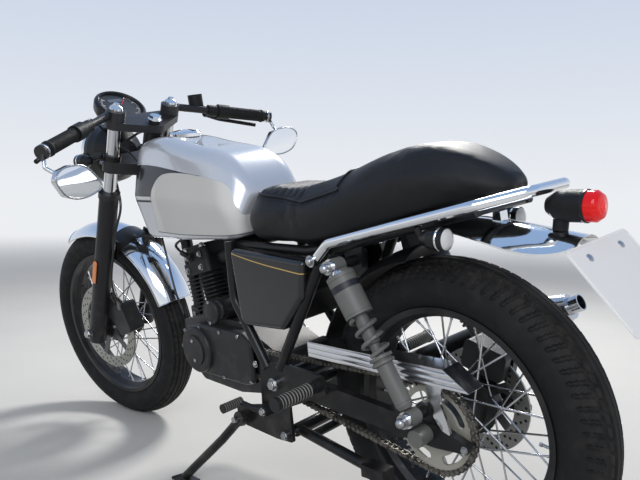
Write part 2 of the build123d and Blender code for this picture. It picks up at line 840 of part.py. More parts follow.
def shock(side):
    """Shock absorber: cover over the spring's top, spring seat, lower tube and an eye at each end."""
    y = side * shock_y
    shaft_r = spring_r - spring_wire - 4
    cover_end = shock_length - 20
    profile = [(0, 14), (13, 18), (16.5, 26), (16.5, spring_seat), (23, spring_seat + 2), (23, spring_seat + 7)]
    profile += [(19, spring_seat + 8), (19, spring_seat + 11), (23, spring_seat + 12), (23, spring_start)]
    profile += [(10, spring_start), (10, spring_start + 24), (shaft_r, spring_start + 26), (shaft_r, spring_end)]
    profile += [(28, spring_end), (29, cover_end), (20, cover_end + 8), (0, cover_end + 8)]
    pieces = [shock_place(side) * revolve(make_face(Plane.XZ * Polyline(*profile, close=True)), Axis.Z)]
    for x, z in (shock_low, shock_top):
        pieces.append(pin_y(x, z, shock_eye_r, y - shock_eye_half, y + shock_eye_half))
        pieces.append(pin_y(x, z, 10, y + side * (shock_eye_half - 1), y + side * (shock_eye_half + 9)))
    return together(*pieces)


def spring(side):
    """Coil that shows between the cover and its seat, in short straight steps of its wire."""
    low = spring_start + spring_wire + plain_gap
    high = spring_end - spring_wire - plain_gap
    points = []
    for number in range(spring_turns * coil_steps + 1):
        turn = number * 2 * pi / coil_steps
        rise = low + (high - low) * number / (spring_turns * coil_steps)
        points.append((spring_r * cos(turn), spring_r * sin(turn), rise))
    path = Polyline(*points)
    start = Plane(origin=path @ 0, z_dir=path % 0)
    wire = sweep(start * RegularPolygon(spring_wire, 8), path=path, transition=Transition.RIGHT)
    return shock_place(side) * wire


def chain_guard():
    """Ribbed cover over the chain's upper run, with a slanted rear end, on a strap from the swingarm."""
    front_x = 300.0
    front_top = 445.0
    rear_x, rear_top = -50.0, 450.0
    tip_x, tip_z = -104.0, 415.0
    sheet = 2.5
    outer_y = chain_y + 34
    slant = (rear_x - tip_x) / (rear_top - tip_z)
    outline = [(front_x, front_top), (front_x, tip_z - 3), (tip_x, tip_z), (rear_x, rear_top)]
    side = plate_y(outline, 1.5, outer_y - sheet, outer_y)
    roof_line = [(front_x, front_top), (front_x, front_top - sheet), (rear_x + 1, rear_top - sheet)]
    roof_line += [(tip_x + 4, tip_z), (tip_x, tip_z), (rear_x, rear_top)]
    roof = plate_y(roof_line, 0.5, chain_y - 14, outer_y)
    strap_line = [(-8, 418), (-44, 418), (-38, 380), (-50, 352), (-58, 323.65), (-38, 330.3), (-22, 352), (-12, 388)]
    strap = plate_y(strap_line, 3, outer_y - 8, outer_y - sheet)
    bodies = [side, roof, strap]
    for drop in (7.0, 19.0):
        end_x = rear_x - slant * drop + 5
        line = [(front_x - 2, front_top - drop), (front_x - 2, front_top - drop - 3)]
        line += [(end_x, rear_top - drop - 3), (end_x, rear_top - drop)]
        bodies.append(plate_y(line, 0.8, outer_y - 1, outer_y + 2))
    return together(*bodies)


def caliper(x, z, y, reach, turn):
    """Brake caliper that straddles its disc, at a turn about the wheel's axle."""
    place = Location(Plane(origin=(x, y, z), x_dir=(cos(radians(turn)), 0, sin(radians(turn))), z_dir=(0, 1, 0)))
    block = Pos(reach, 0, 0) * Box(62, 96, 54)
    block = fillet(block.edges().filter_by(Axis.Z), 12)
    slot = Pos(reach - 16, 0, 0) * Box(70, 120, disc_thick + 10.4)
    return place * (block - slot)


def rear_caliper():
    """Rear caliper on a plate that turns on the axle inside the right arm."""
    turn = 105
    reach = rear_disc_r - 12
    plate = flat_y(caliper_arm(reach, turn), 0, rear_tyre_r, -arm_y + plain_gap, -arm_y + 9)
    plate -= pin_y(0, rear_tyre_r, axle_r + plain_gap, -200, 0)
    return together(caliper(0, rear_tyre_r, rear_disc_y, reach, turn), plate)


def caliper_arm(reach, turn):
    """Outline of the plate from the axle to a caliper."""
    eye = Circle(18)
    end = Rot(0, 0, turn) * Pos(reach, 0) * Circle(24)
    return make_hull([*eye.edges(), *end.edges()])


def front_caliper():
    """Front caliper with the bracket that bolts it behind the left fork leg."""
    x, _, z = front_axle
    turn = 160
    reach = front_disc_r - 14
    spots = [(reach - 44, turn - 4), (reach - 44, 116), (reach + 20, 116), (reach + 20, turn - 4)]
    outline = [(x + r * cos(radians(a)), z + r * sin(radians(a))) for r, a in spots]
    bracket = plate_y(outline, 5, front_disc_y + 17, front_disc_y + 25)
    leg = FORK * Pos(0, fork_half, -60) * extrude(Circle(leg_r + plain_gap), amount=600)
    return together(caliper(x, z, front_disc_y, reach, turn), bracket) - leg


# Controls, lights and small pieces


def footpegs():
    """Folding pegs on brackets from the pivot plates."""
    x, z = 262, 359
    base = side_tube_y + frame_plate_half + plain_gap
    boss = pin_y(x, z, 15, base, base + 18)
    rubber = pin_y(x, z, 12, base + 16, base + 120)
    pieces = [boss, rubber]
    for number in range(11):
        y = base + 30 + number * 8
        pieces.append(pin_y(x, z, 14.5, y, y + 4))
    pieces.append(pin_y(x, z, 16, base + 114, base + 124))
    return both_sides(together(*pieces))


def foot_pedals():
    """Gear pedal on the left and brake pedal on the right."""
    lever = tube([(430, 150, 268), (470, 150, 264), (520, 154, 270)], 7, 20)
    boss = pin_y(430, 268, 13, side_tube_y + frame_plate_half + plain_gap, 158)
    toe = rod((520, 148, 270), (520, 204, 270), 11)
    gear = together(lever, boss, toe)
    brake_lever = tube([(430, -150, 280), (490, -154, 284), (545, -158, 298)], 7, 20)
    brake_boss = pin_y(430, 280, 13, -158, -side_tube_y - frame_plate_half - plain_gap)
    pad = Pos(548, -172, 302) * Box(50, 46, 12)
    return apart(gear, together(brake_lever, brake_boss, pad))


def arch(inner_r, half, drop, thick, start, sweep_angle, x, z):
    """Mudguard: an arched strip that follows its wheel. start is an angle up from straight ahead."""
    outer_r = inner_r + thick
    section = make_face(
        [
            ThreePointArc((outer_r - drop, -half), (outer_r, 0), (outer_r - drop, half)),
            Line((outer_r - drop, half), (inner_r - drop, half)),
            ThreePointArc((inner_r - drop, half), (inner_r, 0), (inner_r - drop, -half)),
            Line((inner_r - drop, -half), (outer_r - drop, -half)),
        ]
    )
    body = revolve(section, Axis.Y, sweep_angle)
    # the revolve starts at straight ahead and runs downwards, so it is turned back to its start
    return Pos(x, 0, z) * Rot(0, -start, 0) * body


def inner_mudguard():
    """Mudguard under the seat, between the battery box and the tail."""
    crown = rear_tyre_r + mudguard_clearance
    guard = arch(crown - 3, 70, 22, 3, 80, 68, 0, rear_tyre_r)
    x, z = seat_crosses[1]
    turn = atan2(z - rear_tyre_r, x)
    top = hypot(x, z - rear_tyre_r) - seat_cross_r - plain_gap
    spots = [(crown - 2, -0.03), (top, -0.02), (top, 0.02), (crown - 2, 0.03)]
    tab = [(r * cos(turn + a), rear_tyre_r + r * sin(turn + a)) for r, a in spots]
    return together(guard, plate_y(tab, 1, -20, 20))


def tail_fender():
    """Polished tail below the seat rail, which carries the lamp and the number plate."""
    # x, crown z, half width, drop of the edges
    table = [(20, 702, 74, 14), (-90, 706, 72, 22), (-197, 694, 62, 34), (-268, 684, 40, 12)]
    thick = 3.0
    sections = []
    for x, z, half, drop in table:
        edge = z - drop
        top = ThreePointArc((-half, edge), (0, z), (half, edge))
        under = ThreePointArc((half, edge - thick), (0, z - thick), (-half, edge - thick))
        sides = [Line((side * half, edge), (side * half, edge - thick)) for side in (1, -1)]
        face = make_face([top, sides[0], under, sides[1]])
        sections.append(Plane(origin=(x, 0, 0), x_dir=(0, 1, 0), z_dir=(1, 0, 0)) * face)
    x, z = seat_crosses[2]
    top = z - seat_cross_r - plain_gap
    tab = plate_y([(x - 9, 702), (x + 9, 702), (x + 7, top), (x - 7, top)], 1, -12, 12)
    return together(loft(sections), tab)


def tail_lamp():
    """Bullet lamp on a stem."""
    x, z = -210, 731
    profile = [(0, 10), (14, 8), (24, -8), (27, -28), (27, -62), (0, -62)]
    body = revolve(make_face(Plane.XZ * Polyline(*[(r, -d) for r, d in profile], close=True)), Axis.Z)
    shell = Location(Plane(origin=(x, 0, z), z_dir=(-1, 0, 0))) * body
    stem = rod((-222, 0, 690.7), (-226, 0, 722), 13)
    return together(shell, stem)


def tail_lamp_lens():
    profile = [(0, 62), (26, 62), (26, 76), (20, 84), (0, 88)]
    body = revolve(make_face(Plane.XZ * Polyline(*profile, close=True)), Axis.Z)
    return Location(Plane(origin=(-210, 0, 731), z_dir=(-1, 0, 0))) * body


def licence_plate():
    """Blank plate on its bracket below the tail."""
    facing = (-cos(radians(plate_tilt)), 0, sin(radians(plate_tilt)))
    place = Location(Plane(origin=(plate_top[0], 0, plate_top[1]), x_dir=(0, 1, 0), z_dir=facing))
    middle = plate_height / 2
    plate = Pos(0, middle, 0) * extrude(RectangleRounded(plate_width, plate_height, 10), amount=plate_thick)
    backing = Pos(0, middle, -4) * extrude(RectangleRounded(120, 100, 10), amount=4)
    arms = [rod((-226, y, 676), (-300, y, 645), 5) for y in (-24, 24)]
    return together(place * plate, place * backing, *arms)


def bullet(x, y, z, way):
    """Small round indicator. way is 1 for one that faces ahead and -1 for one that faces back."""
    profile = [(0, -36), (12, -30), (19, -12), (20, 8), (20, 20), (0, 24)]
    body = revolve(make_face(Plane.XZ * Polyline(*profile, close=True)), Axis.Z)
    return Location(Plane(origin=(x, y, z), z_dir=(way, 0, 0))) * body


def rear_indicators():
    lamp = bullet(-60, 122, 688, -1)
    hook = tube([(-24, 131, 708.4), (-30, 126, 690), (-56, 123, 670)], 6, 12)
    return both_sides(together(lamp, hook))


# Steering


def turned_out(points):
    return make_face(Plane.XZ * Polyline(*points, close=True))


def clamp_plate(low, thick, radius, stem_radius):
    """Plate that joins both fork tubes to the stem."""
    spots = [(0, fork_half, radius), (0, -fork_half, radius), (-fork_offset, 0, stem_radius)]
    circles = [Pos(x, y) * Circle(r) for x, y, r in spots]
    hull = make_hull([edge for circle in circles for edge in circle.edges()])
    return Pos(0, 0, low) * extrude(hull, amount=thick)


def triple_clamps():
    """Lower and upper fork clamps with the stem between them."""
    lower = clamp_plate(clamp_low, clamp_low_thick, clamp_ring_r, 32)
    upper = clamp_plate(clamp_top, clamp_top_thick, clamp_ring_r + 2, 30)
    stem = Pos(-fork_offset, 0, clamp_low) * extrude(Circle(stem_r), amount=clamp_top - clamp_low + clamp_top_thick)
    nut = Pos(-fork_offset, 0, clamp_top + clamp_top_thick) * extrude(Circle(16), amount=10)
    body = together(lower, upper, stem, nut)
    for side in (-1, 1):
        body -= Pos(0, side * fork_half, 0) * extrude(Circle(stanchion_r), amount=900)
    return FORK * body


def stanchions():
    tube_piece = Pos(0, fork_half, leg_top - 200) * extrude(Circle(stanchion_r), amount=stanchion_top - leg_top + 200)
    return both_sides(FORK * tube_piece)


def fork_legs():
    """Lower legs, bored for the fork tubes and the axle."""
    leg = Pos(0, fork_half, -34) * extrude(Circle(leg_r), amount=leg_top + 34)
    leg = together(leg, Pos(0, fork_half, leg_top - 16) * extrude(Circle(leg_r + 3), amount=18))
    leg -= Pos(0, fork_half, leg_top - 200) * extrude(Circle(stanchion_r), amount=300)
    leg = FORK * leg
    leg -= pin_y(wheel_base, front_tyre_r, axle_r, 0, 200)
    return both_sides(leg)


def front_axle_bar():
    reach = fork_half + leg_r
    bar = pin_y(wheel_base, front_tyre_r, axle_r, -reach - 12, reach + 12)
    ends = [pin_y(wheel_base, front_tyre_r, 13, side * (reach + plain_gap), side * (reach + 12)) for side in (-1, 1)]
    return together(bar, *ends)


lamp_x = 1190.0
lamp_z = 872.0
lamp_r = 90.0
ear_low = clamp_low + clamp_low_thick + plain_gap
ear_high = ear_low + 16


def headlamp():
    """Round headlamp bowl with ears round the fork tubes, just above the lower clamp."""
    profile = [(0, -62), (34, -58), (66, -40), (84, -10), (lamp_r, 20), (lamp_r, 44), (0, 44)]
    bowl = Location(Plane(origin=(lamp_x, 0, lamp_z), z_dir=(1, 0, 0))) * revolve(turned_out(profile), Axis.Z)
    ears = []
    for side in (-1, 1):
        ring = Pos(0, side * fork_half, ear_low) * extrude(Circle(clamp_ring_r), amount=ear_high - ear_low)
        ears.append(FORK * ring)
        rear_low = (FORK * Pos(stanchion_r + 1, 0, ear_low + 6)).position
        rear_high = (FORK * Pos(stanchion_r + 1, 0, ear_high)).position
        outline = [(rear_low.X, rear_low.Z), (rear_high.X, rear_high.Z)]
        outline += [(lamp_x + 24, lamp_z + 14), (lamp_x + 20, lamp_z - 20)]
        ears.append(plate_y(outline, 2, side * (fork_half - 3), side * (fork_half + 3)))
        ears.append(pin_y(lamp_x + 8, lamp_z, 12, side * (lamp_r - 12), side * (fork_half + 8)))
    body = together(bowl, *ears)
    for side in (-1, 1):
        body -= FORK * Pos(0, side * fork_half, 500) * extrude(Circle(stanchion_r), amount=300)
    return body


def headlamp_lens():
    profile = [(0, 44), (lamp_r - 6, 44), (lamp_r - 6, 50), (50, 62), (0, 68)]
    return Location(Plane(origin=(lamp_x, 0, lamp_z), z_dir=(1, 0, 0))) * revolve(turned_out(profile), Axis.Z)


instrument_r = 76.0
# place of the instrument, ahead of the fork tubes and above the upper clamp's underside
instrument_ahead = 105.0
instrument_rise = 6.5
instrument_face = (-0.244, 0, 0.966)


def instrument():
    """Instrument on a lug from the upper clamp, with a round face towards the rider."""
    r = instrument_r
    place = Plane(origin=(instrument_ahead, 0, clamp_top + instrument_rise), x_dir=(0, 1, 0), z_dir=instrument_face)
    profile = [(0, -46), (r - 32, -44), (r - 14, -30), (r - 2, -12), (r, 0), (r, 8), (r - 3, 14)]
    profile += [(r - 9, 17), (r - 12, 11), (0, 11)]
    body = Location(place) * revolve(turned_out(profile), Axis.Z)
    lug = rod((clamp_ring_r + 4 + plain_gap, 0, clamp_top + 7), (80, 0, clamp_top - 10), 6)
    return FORK * together(body, lug)


def bar_point(distance, side=1, out=(0, 0, 0)):
    """Point along a handlebar at a distance from its ring."""
    a = Vector(*bar_start)
    b = Vector(*bar_end)
    spot = a + (b - a).normalized() * distance + Vector(*out)
    return (spot.X, side * spot.Y, spot.Z)


bar_length = (Vector(*bar_end) - Vector(*bar_start)).length


def clip_ons():
    """Handlebars clamped round the fork tubes above the upper clamp."""
    low = clamp_top + clamp_top_thick + plain_gap
    ring = Pos(0, fork_half, low) * extrude(Circle(27), amount=28)
    ring -= Pos(0, fork_half, low) * extrude(Circle(stanchion_r), amount=28)
    ring = FORK * ring
    bar = rod(bar_point(-3), bar_point(bar_length), bar_r)
    bar -= FORK * Pos(0, fork_half, low) * extrude(Circle(stanchion_r), amount=60)
    return both_sides(together(ring, bar))


def grips():
    grip = rod(bar_point(bar_length - 128), bar_point(bar_length - 6), grip_r)
    grip -= rod(bar_point(0), bar_point(bar_length + 10), bar_r)
    return both_sides(grip)


def controls():
    """Switches, levers and the brake fluid reservoir."""
    sides = []
    for side in (1, -1):
        bore = rod(bar_point(0, side), bar_point(bar_length, side), bar_r)
        switch = rod(bar_point(bar_length - 166, side), bar_point(bar_length - 130, side), 22)
        perch = rod(bar_point(bar_length - 198, side), bar_point(bar_length - 164, side), 17)
        hinge = bar_point(bar_length - 184, side, (36, 0, -8))
        arm = rod(bar_point(bar_length - 182, side, (14, 0, -2)), hinge, 9)
        knee = bar_point(bar_length - 120, side, (62, 0, -14))
        lever = tube([hinge, knee, bar_point(bar_length - 2, side, (48, 0, -24))], 6, 40)
        pieces = [switch, perch, arm, lever]
        if side < 0:
            cup = bar_point(bar_length - 216, side, (22, 0, 14))
            pieces.append(Solid.make_cylinder(22, 34, Plane(origin=cup, z_dir=(0, 0, 1))))
            pump = bar_point(bar_length - 190, side, (14, 0, 0))
            pieces.append(rod(pump, bar_point(bar_length - 214, side, (20, 0, 18)), 10))
        sides.append(together(*pieces) - bore)
    return apart(*sides)


def mirrors():
    """Bar-end mirrors that hang below the grips."""
    end = bar_point(bar_length + plain_gap)
    cap = rod(end, bar_point(bar_length + 14), 18)
    x, y, z = 846, 380, 835
    stem = tube([bar_point(bar_length + 7), (905, 408, 880), (x + 12, y + 2, z + 8)], 5, 12)
    shell = Location(Plane(origin=(x, y, z), x_dir=(-0.2, 1, 0), z_dir=(-1, -0.2, 0))) * mirror_shell()
    return both_sides(together(cap, stem, shell))


def mirror_shell():
    """Drop-shaped mirror with its point low towards the middle. x is outwards and y down."""
    outline = [(56, -16), (40, -38), (4, -46), (-46, -36), (-88, 17), (-56, 35), (-10, 39), (34, 24)]
    face = make_face(FilletPolyline(*outline, radius=[12, 14, 18, 14, 5, 12, 16, 16], close=True))
    return Pos(0, 0, -9) * extrude(face, amount=14)


def front_fender():
    """Polished mudguard with a bridge that bolts inside the fork legs."""
    inner_r = front_tyre_r + fender_clearance
    guard = arch(inner_r, 64, 34, 3, 162, 96, *front_axle[::2])
    bridge = arch(inner_r + 3, 66, 34, 4, 121, 11, *front_axle[::2])
    ears = []
    for side in (-1, 1):
        ears.append(FORK * (Pos(0, side * 65.5, inner_r - 39) * Box(44, 6, 60)))
    return together(guard, bridge, *ears)


def front_indicators():
    lamp = bullet(1140, 150, 866, 1)
    stalk = rod((1120, 104, 872), (1140, 140, 866), 7)
    return both_sides(together(lamp, stalk))


# Stands

STAND_AXIS = Plane(
    origin=stand_pivot,
    x_dir=(1, 0, 0),
    z_dir=(0, cos(radians(stand_axis_tilt)), sin(radians(stand_axis_tilt))),
)


def side_stand():
    """Prop from its pivot to a flat foot on the floor."""
    px, py, pz = stand_pivot
    foot_x = px + stand_foot_ahead
    foot_y = py + stand_foot_out
    foot = floor_below(foot_x, foot_y, stand_leg_r)
    eye = Location(STAND_AXIS) * (Pos(0, 0, 0) * Cylinder(18, 14))
    knee = (px + 62, py + 16, pz - 64)
    leg = rod((px, py, pz), knee, stand_leg_r)
    lower = rod(knee, foot, stand_leg_r)
    pad = STAND.inverse() * Pos(*tuple((STAND * Pos(*foot)).position)) * Pos(0, 0, -stand_leg_r + 3) * Box(64, 44, 6)
    return together(eye, leg, lower, pad) - Location(STAND_AXIS) * Cylinder(
        stand_bolt_r + axle_clearance, 60
    )


def stand_bolt():
    return Location(STAND_AXIS) * Cylinder(stand_bolt_r, 44)


def centre_stand():
    """Folded stand below the swingarm, with two legs and a cross bar."""
    x, z = centre_pivot
    drop = 24.0
    legs = []
    for side in (-1, 1):
        legs.append(rod((x, side * centre_half, z), (x - centre_leg, side * (centre_half + 12), z - drop), 12))
        foot = Pos(x - centre_leg, side * (centre_half + 12), z - drop) * Box(60, 34, 26)
        legs.append(foot)
    sleeve = pin_y(x, z, 15, -centre_half - 12, centre_half + 12)
    brace = pin_y(x - 44, z - 4, 10, -centre_half, centre_half)
    return together(sleeve, *legs, brace) - pin_y(x, z, centre_bolt_r + axle_clearance, -200, 200)


def centre_bolt():
    x, z = centre_pivot
    reach = side_tube_y + frame_plate_half
    return pin_y(x, z, centre_bolt_r, -reach - 6, reach + 6)


def frame_parts():
    return {
        "frame_main": frame_main(),
        "frame_left": frame_side(1),
        "frame_right": frame_side(-1),
        "seat_frame": seat_frame(),
        "seat_rail": seat_rail(),
        "fuel_tank": fuel_tank(),
        "fuel_cap": fuel_cap(),
        "seat": seat(),
        "side_covers": both_sides(side_cover()),
        "battery_box": battery_box(),
        "crankcase": crankcase(),
        "engine_covers": engine_covers(),
        "cylinder": cylinder(),
        "cylinder_head": cylinder_head(),
        "carburettor": carburettor(),
        "starter_motor": starter(),
        "exhaust_header": exhaust_header(),
        "silencer": silencer(),
        "swingarm": swingarm(),
        "pivot_bolts": apart(pivot_bolt(), centre_bolt(), stand_bolt()),
        "rear_axle": rear_axle_bar(),
        "shocks": apart(shock(1), shock(-1)),
        "shock_springs": apart(spring(1), spring(-1)),
        "chain": chain(),
        "chain_guard": chain_guard(),
        "rear_caliper": rear_caliper(),
        "footpegs": footpegs(),
        "foot_pedals": foot_pedals(),
        "inner_mudguard": inner_mudguard(),
        "tail_fender": tail_fender(),
        "tail_lamp": tail_lamp(),
        "tail_lamp_lens": tail_lamp_lens(),
        "licence_plate": licence_plate(),
        "rear_indicators": rear_indicators(),
    }


def steering_parts():
    return {
        "triple_clamps": triple_clamps(),
        "fork_stanchions": stanchions(),
        "fork_legs": fork_legs(),
        "front_axle": front_axle_bar(),
        "headlamp": headlamp(),
        "headlamp_lens": headlamp_lens(),
        "instrument": instrument(),
        "clip_ons": clip_ons(),
        "grips": grips(),
        "controls": controls(),
        "mirrors": mirrors(),
        "front_fender": front_fender(),
        "front_caliper": front_caliper(),
        "front_indicators": front_indicators(),
    }


def bodies():
    """Each body's nodes, upright and with the wheels in line."""
    return {
        "chassis": frame_parts(),
        "steering": steering_parts(),
        "front_wheel": front_wheel_parts(),
        "rear_wheel": rear_wheel_parts(),
        "side_stand": {"side_stand": side_stand()},
        "centre_stand": {"centre_stand": centre_stand()},
    }


def main():
    os.makedirs("parts", exist_ok=True)
    for body, nodes in bodies().items():
        place = STAND * STEER if body in ("steering", "front_wheel") else STAND
        for name, shape in nodes.items():
            export_step(place * shape, f"parts/{name}.step")


if __name__ == "__main__":
    main()
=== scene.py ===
"""Finishes and small pieces of a cafe racer motorcycle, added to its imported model."""

import math
from math import cos, pi, radians, sin

import bpy
from bpy.props import FloatProperty, FloatVectorProperty, IntProperty, PointerProperty
from mathutils import Matrix, Vector
from mathutils.bvhtree import BVHTree


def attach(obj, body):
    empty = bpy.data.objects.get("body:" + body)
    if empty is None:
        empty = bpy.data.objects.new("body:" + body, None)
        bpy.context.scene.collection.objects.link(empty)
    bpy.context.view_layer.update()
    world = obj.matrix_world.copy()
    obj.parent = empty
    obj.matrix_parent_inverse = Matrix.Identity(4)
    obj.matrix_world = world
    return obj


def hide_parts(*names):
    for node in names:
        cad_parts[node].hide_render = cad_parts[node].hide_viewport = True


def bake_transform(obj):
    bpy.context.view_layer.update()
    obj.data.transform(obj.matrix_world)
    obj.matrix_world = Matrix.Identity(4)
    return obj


bl_info = {
    "name": "Cafe racer motorcycle",
    "version": (1, 0, 0),
    "blender": (4, 5, 0),
    "location": "View3D > Sidebar > Cafe racer",
    "description": "Gives the cafe racer its finishes, tyres, seat, fasteners and stage",
    "category": "Object",
}

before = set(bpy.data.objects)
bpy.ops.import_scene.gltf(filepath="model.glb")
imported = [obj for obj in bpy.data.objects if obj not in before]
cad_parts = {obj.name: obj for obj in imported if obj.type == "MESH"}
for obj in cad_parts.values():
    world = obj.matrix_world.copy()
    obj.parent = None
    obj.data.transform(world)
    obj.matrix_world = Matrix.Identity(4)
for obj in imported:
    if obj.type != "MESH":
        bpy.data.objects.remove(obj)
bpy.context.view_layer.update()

# Sizes and places are in millimetres in the upright machine: X ahead of the rear axle, Y left, Z up.
# Angles are in degrees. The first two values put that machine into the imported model, which is in metres.
MACHINE_PLACE = (-0.62901527768, -0.10425558333, 0.00065904820)
MACHINE_PITCH = 0.06436762
LEAN = 8.5
REST_STEER = 8.0
RAKE = 24.3
AHEAD = Vector((cos(radians(RAKE)), 0, sin(radians(RAKE))))
UP_FORK = Vector((-sin(radians(RAKE)), 0, cos(radians(RAKE))))
STEER_FOOT = Vector((1414.17356617, 0, 0))
FORK_HALF = 97
FRONT_AXLE = Vector((1325, 0, 319))
REAR_AXLE = Vector((0, 0, 315))
# outer radius, half width, rim radius and half width at the bead
FRONT_TYRE = (319, 52, 233, 36)
REAR_TYRE = (315, 60, 220, 44)
FRONT_RIM_R = FRONT_TYRE[2]
REAR_RIM_R = REAR_TYRE[2]
CYLINDER_FOOT = (752, 0, 432)
CYLINDER_LEAN = 15
SHOCK_FOOT = (5, 357)
SHOCK_REACH = (160, 271)
SHOCK_LENGTH = math.hypot(*SHOCK_REACH)
SILENCER_FRONT = Vector((400, -186, 226))
SILENCER_END = Vector((-128, -220, 492))
BAR_RING = Vector((1026.5, 118.0, 983.5))
BAR_END = Vector((919.0, 392.0, 918.0))
BAR_LENGTH = 301.53
PLATE_PLACE = (-281, 0, 677)
PLATE_TILT = 41.0
PLATE_THICK = 1.5


def basis(x_dir, z_dir, origin):
    """Matrix of a local frame from its origin and two of its directions."""
    x_dir = Vector(x_dir).normalized()
    z_dir = Vector(z_dir).normalized()
    y_dir = z_dir.cross(x_dir)
    turn = Matrix((x_dir, y_dir, z_dir)).transposed().to_4x4()
    return Matrix.Translation(Vector(origin)) @ turn


def along(start, end):
    """Local frame whose Z runs from start to end."""
    way = Vector(end) - Vector(start)
    return Matrix.Translation(Vector(start)) @ way.to_track_quat("Z", "Y").to_matrix().to_4x4()


def facing(spot, way):
    """Local frame at a place, whose Z looks one way."""
    return along(spot, Vector(spot) + Vector(way))


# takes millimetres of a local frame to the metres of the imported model
MILLIMETRES = Matrix.Scale(0.001, 4)
UPRIGHT = (
    Matrix.Translation(MACHINE_PLACE)
    @ Matrix.Rotation(radians(MACHINE_PITCH), 4, "Y")
    @ Matrix.Rotation(radians(-LEAN), 4, "X")
    @ MILLIMETRES
)
STEERED = (
    UPRIGHT
    @ Matrix.Translation(STEER_FOOT)
    @ Matrix.Rotation(radians(REST_STEER), 4, UP_FORK)
    @ Matrix.Translation(-STEER_FOOT)
)
FORK = STEERED @ basis(AHEAD, UP_FORK, FRONT_AXLE)
FRONT_HUB = STEERED @ Matrix.Translation(FRONT_AXLE)
REAR_HUB = UPRIGHT @ Matrix.Translation(REAR_AXLE)
CYLINDER = UPRIGHT @ basis(
    (cos(radians(CYLINDER_LEAN)), 0, -sin(radians(CYLINDER_LEAN))),
    (sin(radians(CYLINDER_LEAN)), 0, cos(radians(CYLINDER_LEAN))),
    CYLINDER_FOOT,
)
HEADLAMP = STEERED @ basis((0, 1, 0), (1, 0, 0), (1190, 0, 872))
TAIL_LAMP = UPRIGHT @ along((-210, 0, 731), (-300, 0, 731))


# Meshes


class Shape:
    """Points and faces that become one piece. Sizes go in as millimetres of a local frame."""

    def __init__(self):
        self.points = []
        self.faces = []
        self.finishes = []

    def add(self, place, points, faces, finish=0):
        """Any mesh, with its points in a local frame."""
        first = len(self.points)
        self.points += [place @ Vector(point) for point in points]
        self.faces += [[first + number for number in face] for face in faces]
        self.finishes += [finish] * len(faces)

    def revolve(self, place, profile, steps=32, finish=0):
        """Body of revolution about Z from pairs of radius and height. A radius of 0 closes an end."""
        points, faces, rows = [], [], []
        for radius, height in profile:
            if radius == 0:
                rows.append([len(points)] * steps)
                points.append((0, 0, height))
            else:
                rows.append(list(range(len(points), len(points) + steps)))
                for number in range(steps):
                    turn = 2 * pi * number / steps
                    points.append((radius * cos(turn), radius * sin(turn), height))
        for low, high in zip(rows, rows[1:]):
            for number in range(steps):
                after = (number + 1) % steps
                face = [low[number], low[after], high[after], high[number]]
                face = [p for i, p in enumerate(face) if p not in face[:i]]
                if len(face) > 2:
                    faces.append(face)
        self.add(place, points, faces, finish)

    def prism(self, place, outline, low, high, finish=0, bevel=0.0):
        """Flat piece with its outline in X and Y. A bevel draws in its upper edge."""
        count = len(outline)
        centre = Vector((sum(p[0] for p in outline) / count, sum(p[1] for p in outline) / count))
        rings = [(low, 0.0), (high - bevel, 0.0)]
        if bevel:
            rings.append((high, bevel))
        points = []
        for height, inset in rings:
            for x, y in outline:
                spot = Vector((x, y))
                reach = (spot - centre).length
                spot = centre + (spot - centre) * max(0.0, 1 - inset / max(reach, 1e-6))
                points.append((spot.x, spot.y, height))
        faces = [list(range(count))[::-1], list(range(len(points) - count, len(points)))]
        for ring in range(len(rings) - 1):
            for number in range(count):
                after = (number + 1) % count
                base = ring * count
                faces.append([base + number, base + after, base + count + after, base + count + number])
        self.add(place, points, faces, finish)

    def tube(self, place, path, radius, steps=10, finish=0, closed=False):
        """Round bar along a line of close points."""
        path = [Vector(point) for point in path]
        count = len(path)
        points, faces = [], []
        side = None
        for number, spot in enumerate(path):
            before = path[(number - 1) % count] if closed or number else spot
            after = path[(number + 1) % count] if closed or number < count - 1 else spot
            way = (after - before).normalized()
            if side is None:
                side = way.orthogonal().normalized()
            side = (side - way * side.dot(way)).normalized()
            other = way.cross(side)
            for step in range(steps):
                turn = 2 * pi * step / steps
                points.append(spot + (side * cos(turn) + other * sin(turn)) * radius)
        runs = count if closed else count - 1
        for number in range(runs):
            here = number * steps
            there = (number + 1) % count * steps
            for step in range(steps):
                after = (step + 1) % steps
                faces.append([here + step, here + after, there + after, there + step])
        if not closed:
            faces.append(list(range(steps))[::-1])
            faces.append(list(range((count - 1) * steps, count * steps)))
        self.add(place, points, faces, finish)

    def grid(self, place, rows, wrap_rows=False, wrap_columns=False, finish=0):
        """Sheet from rows of points."""
        height, width = len(rows), len(rows[0])
        points = [point for row in rows for point in row]
        faces = []
        for r in range(height if wrap_rows else height - 1):
            for c in range(width if wrap_columns else width - 1):
                r2, c2 = (r + 1) % height, (c + 1) % width
                faces.append([r * width + c, r * width + c2, r2 * width + c2, r2 * width + c])
        self.add(place, points, faces, finish)


# materials by the names that the pieces use, filled by make_finishes
FINISH = {}


def piece(name, shape, body, slot, *finishes, sharp=35.0):
    """Mesh object from a shape, with one or more named finishes. It rides on a body, if one is given."""
    mesh = bpy.data.meshes.new(name)
    mesh.from_pydata([tuple(point) for point in shape.points], [], shape.faces)
    for finish in finishes:
        mesh.materials.append(FINISH[finish])
    mesh.polygons.foreach_set("material_index", shape.finishes)
    mesh.polygons.foreach_set("use_smooth", [True] * len(mesh.polygons))
    mesh.validate()
    mesh.set_sharp_from_angle(angle=radians(sharp))
    mesh.update()
    thing = bpy.data.objects.new(name, mesh)
    bpy.context.scene.collection.objects.link(thing)
    if body:
        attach(thing, body)
    return thing


